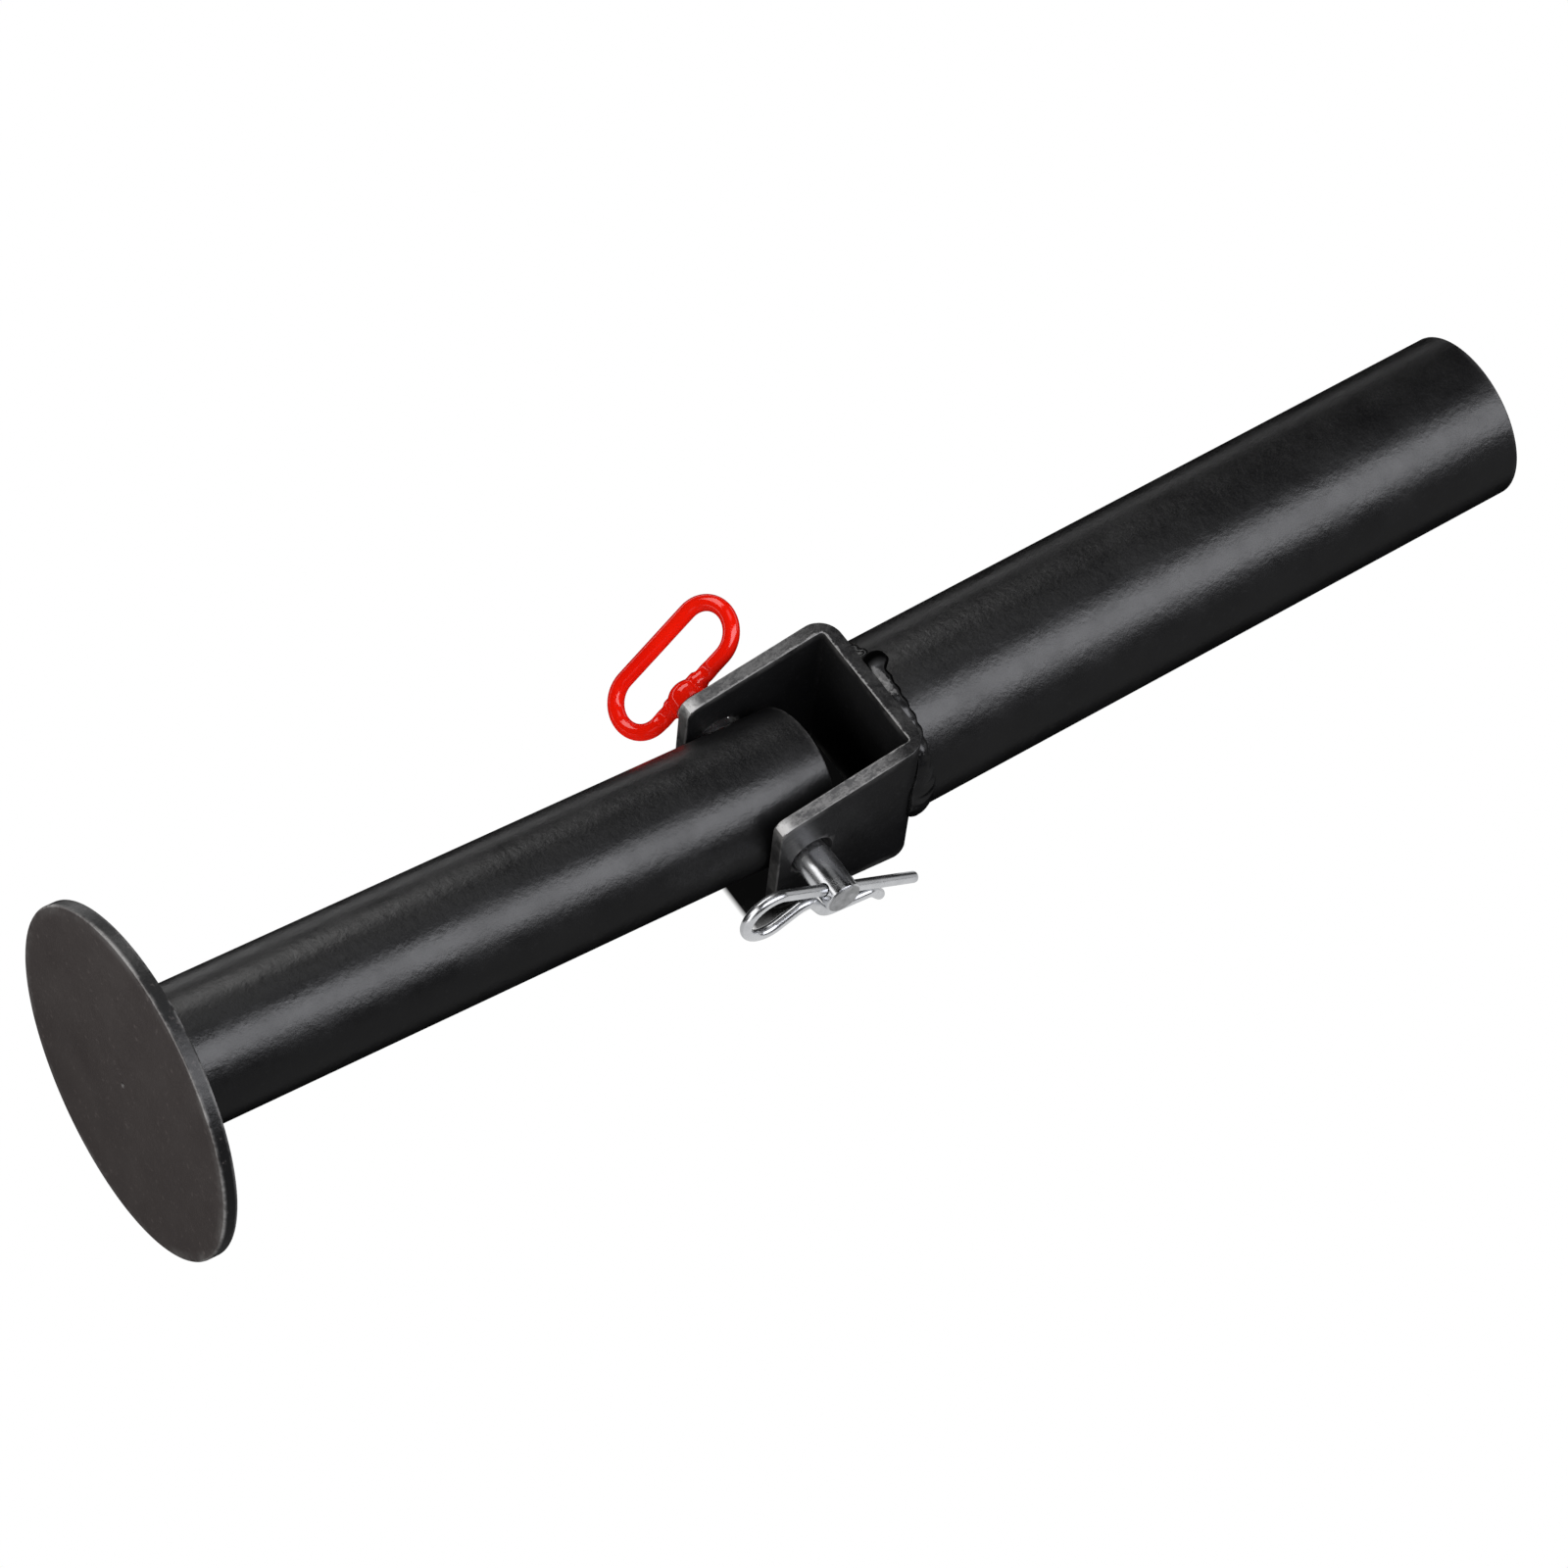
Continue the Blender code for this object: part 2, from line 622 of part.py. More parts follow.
# Hairpin clip: one wire, its straight leg through the pin's tail and its bowed leg round the shank.
def make_clip(parts, clip_frame, mat):
    path = clip_path()
    start = toward(path[0], path[1], WIRE_END_LENGTH)
    end = toward(path[-1], path[-2], WIRE_END_LENGTH)
    path = [path[0], start] + path[1:-1] + [end, path[-1]]
    tapered = (0, len(path) - 1)
    points = [(x, 0.0, -z, WIRE_END_TAPER if i in tapered else 1.0) for i, (x, z) in enumerate(path)]
    curve = wire_curve("hairpin_clip", points, CLIP_WIRE, parts, clip_frame, 3)
    clip = curve_to_mesh(curve, parts)
    finish(clip, mat)


# How the part lies: the sleeve on the foot of the web and on its own far end, the disc on its rim.
def resting_tilts():
    slope = (WEB_HALF - SLEEVE_RADIUS) / (SLEEVE_END_X - WEB_BACK_X)
    sleeve_tilt = math.atan(slope)
    hinge_height = (WEB_HALF + WEB_BACK_X * slope) * math.cos(sleeve_tilt)
    rim_x = DISC_INNER_X + DISC_CHAMFER
    reach = math.hypot(DISC_RADIUS, rim_x)
    post_tilt = math.acos(hinge_height / reach) - math.atan2(rim_x, DISC_RADIUS)
    return sleeve_tilt, post_tilt


# The whole part is moved so that its box stands on z = 0 with its middle over the origin.
def centre_on_floor(assembly, parts):
    bpy.context.view_layer.update()
    graph = bpy.context.evaluated_depsgraph_get()
    corners = []
    for obj in parts.objects:
        if obj.type == "MESH":
            evaluated = obj.evaluated_get(graph)
            corners += [evaluated.matrix_world @ vertex.co for vertex in evaluated.data.vertices]
    low = [min(c[i] for c in corners) for i in range(3)]
    high = [max(c[i] for c in corners) for i in range(3)]
    assembly.location = (-(low[0] + high[0]) / 2, -(low[1] + high[1]) / 2, -low[2])
    bpy.context.view_layer.update()


def main():
    clear_scene()
    parts = new_collection("barbell_pivot_attachment")
    cutters = new_collection("cutters")
    black = material("black_powder_coat", (0.018, 0.018, 0.019), 0.42, 0.0)
    disc_black = material("disc_powder_coat", (0.035, 0.031, 0.030), 0.5, 0.0)
    weld_black = material("coated_weld", (0.016, 0.016, 0.017), 0.5, 0.0)
    plated = material("bright_zinc", (0.72, 0.73, 0.75), 0.18, 1.0)
    red = material("red_coating", (0.78, 0.02, 0.008), 0.22, 0.0)

    sleeve_tilt, post_tilt = resting_tilts()
    assembly = new_frame("assembly", parts)
    post_frame = new_frame("post_frame", parts, assembly, turn_y=post_tilt)
    sleeve_frame = new_frame("sleeve_frame", parts, assembly, turn_y=sleeve_tilt)
    pin_frame = new_frame("pin_frame", parts, sleeve_frame)
    clip_frame = new_frame("clip_frame", parts, pin_frame, (0, CLIP_Y, 0), CLIP_LEAN)
    handle_frame = new_frame("handle_frame", parts, pin_frame, (0, HANDLE_Y, 0), -HANDLE_LEAN)

    make_base_disc(parts, post_frame, disc_black)
    make_disc_weld(parts, post_frame, weld_black)
    make_post_tube(parts, cutters, post_frame, black)
    make_clevis(parts, cutters, sleeve_frame, black)
    make_sleeve_weld(parts, cutters, sleeve_frame, weld_black)
    make_sleeve_tube(parts, sleeve_frame, black)
    make_hitch_pin(parts, cutters, pin_frame, clip_frame, handle_frame, plated)
    make_handle(parts, cutters, handle_frame, red)
    make_clip(parts, clip_frame, plated)
    centre_on_floor(assembly, parts)


main()
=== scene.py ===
import math

import bmesh
import bpy
from mathutils import Matrix, Vector, noise


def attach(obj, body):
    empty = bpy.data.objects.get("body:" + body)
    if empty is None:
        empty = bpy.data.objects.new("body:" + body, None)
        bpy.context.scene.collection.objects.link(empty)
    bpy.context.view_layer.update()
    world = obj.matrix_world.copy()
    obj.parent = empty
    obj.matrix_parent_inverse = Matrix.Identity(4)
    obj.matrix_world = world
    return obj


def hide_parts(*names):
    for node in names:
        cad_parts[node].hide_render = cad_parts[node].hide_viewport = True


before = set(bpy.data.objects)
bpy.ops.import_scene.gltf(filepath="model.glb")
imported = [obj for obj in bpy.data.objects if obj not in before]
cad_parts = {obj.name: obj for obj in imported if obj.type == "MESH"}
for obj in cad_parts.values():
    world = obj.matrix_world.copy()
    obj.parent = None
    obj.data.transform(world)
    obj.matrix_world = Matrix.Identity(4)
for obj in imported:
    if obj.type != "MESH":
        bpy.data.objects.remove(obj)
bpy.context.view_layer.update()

MM = 0.001
TINY = 1e-9
TURN = 2 * math.pi

# ---- Places and sizes of the solids in part.py, in metres

HINGE = Vector((-0.024228, -0.003897, 0.031177))
SLEEVE_TILT = math.radians(0.2289)
POST_TILT = math.radians(6.8858)

POST_RADIUS = 24.0 * MM
POST_WALL = 3.0 * MM
POST_LENGTH = 250.0 * MM
POST_PAST_PIN = 14.0 * MM
DISC_RADIUS = 60.0 * MM
DISC_THICKNESS = 5.0 * MM
DISC_INNER_X = 236.0 * MM
DIMPLE_RADIUS = 1.2 * MM
DIMPLE_DEPTH = 0.7 * MM

PLATE = 5.0 * MM
BEND_INNER_RADIUS = 1.2 * MM
BEND_OUTER_RADIUS = 8.5 * MM
WEB_TO_PIN = 39.4 * MM
WEB_HALF = 31.0 * MM
EAR_PAST_PIN = 13.4 * MM
EAR_END_HALF = 23.5 * MM
EAR_CORNER_RADIUS = 4.0 * MM
EAR_INNER_Y = 25.0 * MM
BEND_X = WEB_TO_PIN + PLATE - BEND_OUTER_RADIUS
BEND_Y = EAR_INNER_Y + PLATE - BEND_OUTER_RADIUS

SLEEVE_RADIUS = 30.0 * MM
SLEEVE_BORE_RADIUS = 26.0 * MM
SLEEVE_START_X = 44.7 * MM
SLEEVE_END_X = 294.7 * MM

PIN_RADIUS = 6.35 * MM
PIN_HOLE_RADIUS = 7.0 * MM
PIN_TAIL_Y = -49.2 * MM
PIN_HEAD_Y = 47.6 * MM

HANDLE_Y = 44.1 * MM
HANDLE_ROD = 2.9 * MM
HANDLE_BEND = 10.4 * MM
HANDLE_STRAIGHT = 32.2 * MM
HANDLE_SHIFT = 2.5 * MM
HANDLE_LEAN = math.radians(-43.0)
CRIMP_FROM_PIN = 11.0 * MM
CRIMP_HALF = 2.5 * MM
CRIMP_FLATTEN = 0.28

CLIP_Y = -44.3 * MM
CLIP_WIRE = 2.0 * MM
CLIP_LEAN = math.radians(32.5)
CLIP_TIP = 39.5 * MM
CLIP_LOOP = 25.5 * MM
CLIP_LOOP_RADIUS = 9.3 * MM
CLIP_THROAT = 20.5 * MM
CLIP_TAIL = 7.0 * MM
CLIP_BEND = 5.0 * MM
CLIP_BOW = 7.0 * MM
CLIP_GAP = 0.3 * MM
CLIP_LOOP_EXIT = math.radians(55.0)
CLIP_BOW_RISE = math.radians(30.0)
CLIP_BOW_FALL = math.radians(22.0)

AT_HINGE = Matrix.Translation(HINGE)
SLEEVE = AT_HINGE @ Matrix.Rotation(SLEEVE_TILT, 4, "Y")
POST = AT_HINGE @ Matrix.Rotation(POST_TILT, 4, "Y")
CLIP = SLEEVE @ Matrix.Translation((0, CLIP_Y, 0)) @ Matrix.Rotation(CLIP_LEAN, 4, "Y")
HANDLE = SLEEVE @ Matrix.Translation((0, HANDLE_Y, 0)) @ Matrix.Rotation(HANDLE_LEAN, 4, "Y")

# ---- Forms that are finer here than in the solids

# How far inside the CAD model's box the disc and the handle keep
DISC_SHY = 0.01 * MM
HANDLE_SHY = 0.02 * MM

# Rounded edges. A ring close to each of them keeps the wear narrow.
DISC_ROUND = 0.8 * MM
DISC_RIM_RING = 1.3 * MM
DISC_FACE_RING = 4.0 * MM
DIMPLE_RING = 1.5 * MM
DIMPLE_EDGE_ROUND = 0.3 * MM
DIMPLE_FLOOR_RADIUS = 0.25 * MM
DIMPLE_FLOOR_ROUND = 0.1 * MM
TUBE_ROUND = 0.6 * MM
TUBE_BORE_ROUND = 0.6 * TUBE_ROUND
TUBE_RING_INSET = 2.0 * MM
POST_DRILL_HALF = 40.0 * MM

# The disc's rim has the coat's own colour from this far behind its outer face, which has painted light
RIM_FROM_FACE = 0.25 * MM

# The ears' holes are wide and drilled high, so that the pin seems to rest on their lower side
EAR_HOLE_RADIUS = 8.1 * MM
EAR_HOLE_RISE = EAR_HOLE_RADIUS - PIN_HOLE_RADIUS
EAR_HOLE_FLARE = 1.3 * MM
EAR_FLARE_FROM_Y = 23.9 * MM
EAR_FLARE_TO_Y = 25.2 * MM
EAR_DRILL_END_Y = 31.1 * MM

# The bar's sawn edges, which are a little uneven
BAR_ARRIS = 0.5 * MM
SAW_BAND = 0.8 * MM
SAW_DEPTH = 0.12 * MM
SAW_GRAIN = 420.0

# How much of the cut steel shows on the near ear, the far ear and the web, and how much of each
# ear's end face counts as cut: more on the far end, as painted light, and less on the near end,
# as painted shade beside the post. A face points along an axis if its normal has FACING of it.
BARE_NEAR_EAR = 0.95
BARE_FAR_EAR = 0.55
BARE_WEB = 0.03
BARE_FADE = 12.0 * MM
NEAR_END_CUT_SHADED = 0.1
FAR_END_CUT_LIT = 0.3
TIP_REACH = 6.0 * MM
FACING = 0.6

# Bead between the disc and the post
DISC_WELD_LEG = 3.5 * MM
DISC_WELD_RIPPLES = 21
DISC_WELD_CRESCENT = 2.2
DISC_WELD_RIPPLE_DEPTH = 0.35 * MM
DISC_WELD_UNEVEN = 0.3 * MM
DISC_WELD_GRAIN = 90.0
DISC_WELD_GRAIN_ACROSS = 2.0 * MM
DISC_WELD_SEED = 3.1
DISC_WELD_IN_POST = 0.2 * MM
DISC_WELD_IN_DISC = 0.1 * MM

# Bead between the clevis and the sleeve
WELD_LEG = 4.6 * MM
WELD_RISE = 1.5 * MM
WELD_SWAY = 0.6 * MM
WELD_RIPPLES = 37
WELD_CRESCENT = 2.6
WELD_TOE_RIPPLE = 0.6 * MM
WELD_RIPPLE_DEPTH = 0.26 * MM
WELD_UNEVEN = 0.5 * MM
WELD_GRAIN = 120.0
WELD_GRAIN_ACROSS = 6.0 * MM
WELD_SEED = 7.7
WELD_SINK = 0.05 * MM
WELD_MOST_DIP = 0.1 * MM
WELD_NOTCH = 5.5 * MM
WELD_IN_CLEVIS = 0.15 * MM
WELD_IN_SLEEVE = 0.4 * MM
WELD_LAP = 0.2 * MM
WELD_ROOT_DEPTH = 3.0 * MM
WELD_FLOOR_GAP = 0.15 * MM

# Its lump, its scraped patch and the painted shade in the crease along its toe, by their angle from the top
# of the sleeve
LUMP = 3.4 * MM
LUMP_ANGLE = math.radians(13.0)
LUMP_SPREAD = math.radians(5.0)
SCRAPE_ANGLE = math.radians(-3.0)
SCRAPE_SPREAD = math.radians(13.0)
SCRAPE_FROM_START = 0.6 * MM
SCRAPE_REACH = 2.6 * MM
TOE_CREASE = 1.5 * MM
TOE_CREASE_FADE = 0.7 * MM
TOE_CREASE_SPREAD = math.radians(75.0)

PIN_HEAD_ROUND = 3.6 * MM
PIN_HEAD_RING = 4.0 * MM
PIN_TAIL_RING = 1.5 * MM
PIN_TAIL_CHAMFER = 0.6 * MM
PIN_TAIL_ROUND = 0.15 * MM
PIN_SAWN_DEPTH = 0.3 * MM
CLIP_HOLE_RADIUS = 2.3 * MM
HANDLE_HOLE_RADIUS = 3.2 * MM
CROSS_HOLE_HALF = 15.0 * MM

# The red coating: a domed cap over the pin's head that flows on to the rod, which has crimps
CAP_SKIRT = -4.7 * MM
CAP_SKIRT_ROUND = 0.35 * MM
CAP_DOME_RING = 0.5 * MM
SKIN_RADIUS = 6.95 * MM
SKIN_END = 4.4 * MM
SKIN_DOME_FROM = -1.0 * MM
SKIN_SWELL = 0.8 * MM
SKIN_FLOW = 2.2 * MM
CRIMP_SPREAD = 0.4 * CRIMP_FLATTEN

# The wire's ends: (mm from the end, share of the wire's radius)
WIRE_END = [(0.0, 0.72), (0.08, 0.84), (0.3, 0.96), (0.7, 1.0), (3.0, 1.0)]

# Points this close become one, and how much a large face outweighs a small one in the shading
MERGE_WITHIN = 0.0001 * MM
NORMAL_WEIGHT = 60

# Numbers of faces, round a shape or along it
FILLET_STEPS = 4
WIDE_SIDES = 192
TUBE_STEPS = 62
POST_HOLE_SIDES = 64
EAR_HOLE_SIDES = 96
CROSS_HOLE_SIDES = 48
PIN_SIDES = 120
CAP_SIDES = 96
CAP_DOME_STEPS = 14
HANDLE_SIDES = 40
HANDLE_NEAR_STEPS = 64
HANDLE_FAR_STEPS = 32
HANDLE_BEND_STEPS = 36
CLIP_SIDES = 28
CLIP_LOOP_STEPS = 60
CLIP_NECK_STEPS = 14
CLIP_BOW_STEPS = 10
EAR_CORNER_STEPS = 6
EAR_STEPS = 37
BEND_STEPS = 30
WEB_STEPS = 16
BAR_STEPS_ACROSS = 16
ARRIS_STEPS = 3
DISC_WELD_STEPS = 504
DISC_WELD_ACROSS = 9
WELD_STEPS = 592
WELD_ACROSS = 16

# Angles in degrees: where an edge starts to wear and is fully worn, from where one is bevelled, and
# from where one is shaded sharp
WEAR_FROM = 8.0
WEAR_FULL = 18.0
BEVELLED = 50.0
SHARP = 38.0
HANDLE_SHARP = 42.0
WELD_SHARP = 60.0

# Colours, as linear red, green and blue. A pair is the darkest and the lightest of a cloudy surface.
WHITE = (1.0, 1.0, 1.0)
WARM_WHITE = (1.0, 0.99, 0.98)
COOL_WHITE = (0.95, 0.955, 1.0)
# Painted shade: the black of the floor's painted shadows and of the bead's painted creases
PAINTED_SHADE_BLACK = (0.003, 0.003, 0.003)
TUBE_COAT = ((0.0055, 0.0055, 0.006), (0.0085, 0.0085, 0.009))
BRACKET_COAT = ((0.011, 0.011, 0.0115), (0.016, 0.016, 0.017))
# The disc's outer face: the coat lightened several times by painted light; its rim has DISC_RIM
DISC_FACE_COAT_AND_LIGHT = ((0.066, 0.057, 0.056), (0.080, 0.070, 0.068))
DISC_RIM = (0.006, 0.006, 0.0065)
BEAD_COAT = ((0.006, 0.006, 0.0065), (0.016, 0.016, 0.017))
COAT_WORN = (0.16, 0.158, 0.155)
DISC_WORN = (0.34, 0.335, 0.33)
BEAD_WORN = (0.08, 0.08, 0.08)
BEAD_SCRAPED = (0.25, 0.248, 0.246)
SAWN_STEEL = ((0.105, 0.105, 0.107), (0.27, 0.267, 0.264))
SAWN_ARRIS = (0.34, 0.337, 0.332)
# The ears' tips: bare steel with a painted highlight
TIP_STEEL_AND_HIGHLIGHT = (0.80, 0.79, 0.78)
ZINC = ((0.60, 0.61, 0.63), (0.80, 0.81, 0.83))
ZINC_WORN = (0.36, 0.36, 0.37)
ZINC_SAWN = (0.27, 0.272, 0.275)
RED = ((0.86, 0.008, 0.002), (0.96, 0.012, 0.003))


def clamp(value):
    return max(0.0, min(1.0, value))


def grey(value):
    return (value, value, value)


# ---- Materials
#
# The meshes carry these attributes, from 0 to 1, and the materials read them:
# edge     a sharp outward arris, where the coat wears
# cut      a sawn face
# bare     how much of the coat is off
# through  0 on the inside of the U, 1 on its outside
# tips     the corners at the end of an ear, where bare steel with a painted highlight goes
# rim      all of the disc but its outer face, which alone has painted light on it
# crease_shade  painted shade: black on the bead's lump and in the fold along its toe

class Nodes:
    """A material's node tree with short calls for the nodes used here."""

    def __init__(self, name):
        self.mat = bpy.data.materials.new(name)
        self.mat.use_nodes = True
        self.tree = self.mat.node_tree
        self.shader = self.tree.nodes["Principled BSDF"]
        self.coords = self.tree.nodes.new("ShaderNodeTexCoord").outputs["Object"]

    def add(self, kind, **inputs):
        node = self.tree.nodes.new(kind)
        for key, value in inputs.items():
            self.feed(node.inputs[key], value)
        return node

    def feed(self, socket, value):
        if isinstance(value, bpy.types.NodeSocket):
            self.tree.links.new(value, socket)
        else:
            socket.default_value = value

    def noise(self, scale, detail, roughness, stretch=None):
        """Noise with about scale lumps to the metre."""
        coords = self.coords
        if stretch:
            coords = self.add("ShaderNodeMapping", Vector=coords, Scale=stretch).outputs["Vector"]
        node = self.add(
            "ShaderNodeTexNoise", Vector=coords, Scale=scale, Detail=detail, Roughness=roughness
        )
        return node.outputs["Fac"]

    def attribute(self, name):
        node = self.tree.nodes.new("ShaderNodeAttribute")
        node.attribute_name = name
        return node.outputs["Fac"]

    def ranged(self, value, low, high, to_low=0.0, to_high=1.0):
        """The value with its range from low to high stretched to to_low and to_high."""
        node = self.tree.nodes.new("ShaderNodeMapRange")
        ends = {"From Min": low, "From Max": high, "To Min": to_low, "To Max": to_high}
        for key, number in ends.items():
            node.inputs[key].default_value = number
        self.feed(node.inputs["Value"], value)
        return node.outputs["Result"]

    def math(self, operation, first, second):
        node = self.tree.nodes.new("ShaderNodeMath")
        node.operation = operation
        self.feed(node.inputs[0], first)
        self.feed(node.inputs[1], second)
        return node.outputs[0]

    def times(self, first, second):
        return self.math("MULTIPLY", first, second)

    def mixed(self, factor, first, second):
        node = self.tree.nodes.new("ShaderNodeMix")
        node.data_type = "RGBA"
        colour_a, colour_b, result = node.inputs[6], node.inputs[7], node.outputs[2]
        self.feed(node.inputs["Factor"], factor)
        for socket, value in ((colour_a, first), (colour_b, second)):
            self.feed(socket, value if isinstance(value, bpy.types.NodeSocket) else (*value, 1.0))
        return result

    def bump(self, height, distance, strength, below=None):
        node = self.tree.nodes.new("ShaderNodeBump")
        node.inputs["Distance"].default_value = distance
        node.inputs["Strength"].default_value = strength
        self.feed(node.inputs["Height"], height)
        if below is not None:
            self.feed(node.inputs["Normal"], below)
        return node.outputs["Normal"]

    def set(self, name, value):
        self.feed(self.shader.inputs[name], value)


def sawn_edges(n, colour, rough, normal):
    """Gritty steel where the bar was cut, brighter along its arrises, with bare steel and a painted
    highlight at the ears' tips.
    """
    cut = n.attribute("cut")
    bare = n.attribute("bare")
    bare_cut = n.times(cut, bare)
    grit = n.noise(520.0, 4.0, 0.65, stretch=(0.45, 1.0, 1.0))
    fine = n.ranged(n.noise(1300.0, 3.0, 0.7), 0.35, 0.65, -0.08, 0.08)
    steel = n.mixed(n.ranged(n.math("ADD", grit, fine), 0.40, 0.60), *SAWN_STEEL)
    colour = n.mixed(bare_cut, colour, steel)
    frayed = n.ranged(n.noise(380.0, 4.0, 0.7), 0.3, 0.7, -0.12, 0.12)
    through = n.math("ADD", n.attribute("through"), frayed)
    inner = n.ranged(through, 0.05, 0.14, 1.0, 0.0)
    outer = n.times(n.ranged(through, 0.88, 0.97), bare)
    colour = n.mixed(n.times(n.math("MAXIMUM", inner, outer), cut), colour, SAWN_ARRIS)
    # Painted highlight, partly bare steel: near white at the ears' tips
    patchy = n.ranged(n.noise(300.0, 4.0, 0.7), 0.35, 0.6, 0.5, 2.0)
    tips = n.times(n.attribute("tips"), patchy)
    colour = n.mixed(n.times(tips, cut), colour, TIP_STEEL_AND_HIGHLIGHT)
    rough = n.mixed(cut, rough, grey(0.12))
    rough = n.mixed(bare_cut, rough, grey(0.6))
    normal = n.bump(n.times(cut, grit), 0.4 * MM, 0.5, normal)
    return colour, rough, normal


def powder_coat(name, coat, rough, worn=COAT_WORN, gloss=1.0, rim=None, cut_edges=False):
    """A satin coat on steel, with dust, and with wear along its arrises.

    rough is the range of its roughness, gloss its specular level and rim the colour of the disc's rim.
    cut_edges shows the sawn edges of the bar.
    """
    n = Nodes(name)
    colour = n.mixed(n.ranged(n.noise(38.0, 4.0, 0.6), 0.35, 0.7), *coat)
    # The disc's rim keeps the coat's own dark colour; its face keeps the lighter one with painted light
    if rim:
        colour = n.mixed(n.attribute("rim"), colour, rim)
    dust = n.ranged(n.noise(420.0, 2.0, 0.7), 0.62, 0.8, 0.0, 0.35)
    colour = n.mixed(dust, colour, tuple(4 * c for c in coat[1]))
    rubbed = n.ranged(n.noise(60.0, 4.0, 0.75), 0.42, 0.6, 0.08, 1.0)
    if cut_edges:
        rubbed = n.times(rubbed, n.ranged(n.attribute("cut"), 0.0, 1.0, 1.0, 0.4))
    colour = n.mixed(n.times(n.attribute("edge"), rubbed), colour, worn)
    normal = n.bump(n.noise(900.0, 2.0, 0.5), 0.06 * MM, 0.4)
    normal = n.bump(n.noise(320.0, 4.0, 0.65), 0.3 * MM, 0.6, normal)
    roughness = n.ranged(n.noise(70.0, 4.0, 0.6), 0.3, 0.7, *rough)
    if cut_edges:
        colour, roughness, normal = sawn_edges(n, colour, roughness, normal)
    n.set("Base Color", colour)
    n.set("Roughness", roughness)
    n.set("Specular IOR Level", gloss)
    n.set("Normal", normal)
    return n.mat


def weld_coat(name):
    """The coat over a bead: thin on its crests, gone where it is scraped, black and dull in painted shade.

    Where the shade is painted it turns metallic as it darkens, because that takes the coat's reflection away
    too.
    """
    n = Nodes(name)
    cloud = n.noise(120.0, 4.0, 0.6)
    colour = n.mixed(n.ranged(cloud, 0.35, 0.7), *BEAD_COAT)
    crests = n.times(n.attribute("edge"), n.ranged(n.noise(300.0, 3.0, 0.6), 0.4, 0.65, 0.0, 0.4))
    colour = n.mixed(crests, colour, BEAD_WORN)
    ragged = n.ranged(n.noise(330.0, 4.0, 0.7), 0.3, 0.7, -0.5, 0.5)
    scraped = n.ranged(n.math("ADD", n.attribute("bare"), ragged), 0.4, 0.6)
    scraped = n.times(scraped, n.ranged(n.noise(700.0, 3.0, 0.7), 0.35, 0.6, 0.45, 1.0))
    colour = n.mixed(scraped, colour, BEAD_SCRAPED)
    # Painted shade: black on the bead's lump and along its toe
    crease_shade = n.attribute("crease_shade")
    n.set("Base Color", n.mixed(crease_shade, colour, PAINTED_SHADE_BLACK))
    n.set("Roughness", n.mixed(crease_shade, n.ranged(cloud, 0.3, 0.7, 0.20, 0.34), grey(0.9)))
    n.set("Metallic", crease_shade)
    n.set("Specular IOR Level", 1.0)
    n.set("Normal", n.bump(n.noise(650.0, 3.0, 0.6), 0.2 * MM, 0.35))
    return n.mat


def bright_plate(name):
    """Zinc plating with a faint grain, dull in spots and on a sawn end."""
    n = Nodes(name)
    colour = n.mixed(n.ranged(n.noise(90.0, 3.0, 0.6), 0.3, 0.7), *ZINC)
    worn = n.ranged(n.noise(500.0, 4.0, 0.7), 0.6, 0.75, 0.0, 0.35)
    colour = n.mixed(worn, colour, ZINC_WORN)
    cut = n.attribute("cut")
    sawn = n.ranged(n.noise(260.0, 4.0, 0.7), 0.35, 0.65, 0.55, 1.0)
    n.set("Base Color", n.mixed(n.times(cut, sawn), colour, ZINC_SAWN))
    n.set("Metallic", 1.0)
    rough = n.ranged(n.noise(140.0, 3.0, 0.6), 0.3, 0.7, 0.18, 0.32)
    n.set("Roughness", n.mixed(cut, rough, grey(0.45)))
    n.set("Normal", n.bump(n.noise(1500.0, 3.0, 0.6), 0.03 * MM, 0.25))
    return n.mat


def red_dip(name):
    """A thick glossy coating, with the slow waves of a dip."""
    n = Nodes(name)
    n.set("Base Color", n.mixed(n.ranged(n.noise(55.0, 3.0, 0.6), 0.3, 0.7), *RED))
    n.set("Roughness", n.ranged(n.noise(110.0, 2.0, 0.5), 0.3, 0.7, 0.07, 0.13))
    n.set("Normal", n.bump(n.noise(120.0, 2.0, 0.5), 0.3 * MM, 0.15))
    n.set("Specular IOR Level", 1.0)
    return n.mat


# ---- Mesh helpers

def about_x(radius, x, angle):
    return (x, radius * math.sin(angle), radius * math.cos(angle))


def spin(profile, steps, closed=False):
    """A profile of (radius, x) turned about the X axis. Radius 0 becomes a single point."""
    verts, faces, rings = [], [], []
    for radius, x in profile:
        if radius < TINY:
            rings.append([len(verts)] * steps)
            verts.append((x, 0.0, 0.0))
            continue
        rings.append([len(verts) + i for i in range(steps)])
        verts += [about_x(radius, x, TURN * i / steps) for i in range(steps)]
    pairs = list(zip(rings, rings[1:]))
    if closed:
        pairs.append((rings[-1], rings[0]))
    for a, b in pairs:
        for i in range(steps):
            j = (i + 1) % steps
            corners = [a[i], a[j], b[j], b[i]]
            face = [c for k, c in enumerate(corners) if c not in corners[:k]]
            if len(face) > 2:
                faces.append(face)
    return verts, faces


def loft(rings, sides, closed=True):
    """The faces over a row of rings with equally many points. An open row gets a face on each end."""
    faces = []
    for i in range(rings if closed else rings - 1):
        j = (i + 1) % rings
        for k in range(sides):
            m = (k + 1) % sides
            faces.append((i * sides + k, i * sides + m, j * sides + m, j * sides + k))
    if not closed:
        faces.append(tuple(range(sides)))
        faces.append(tuple((rings - 1) * sides + k for k in range(sides)))
    return faces


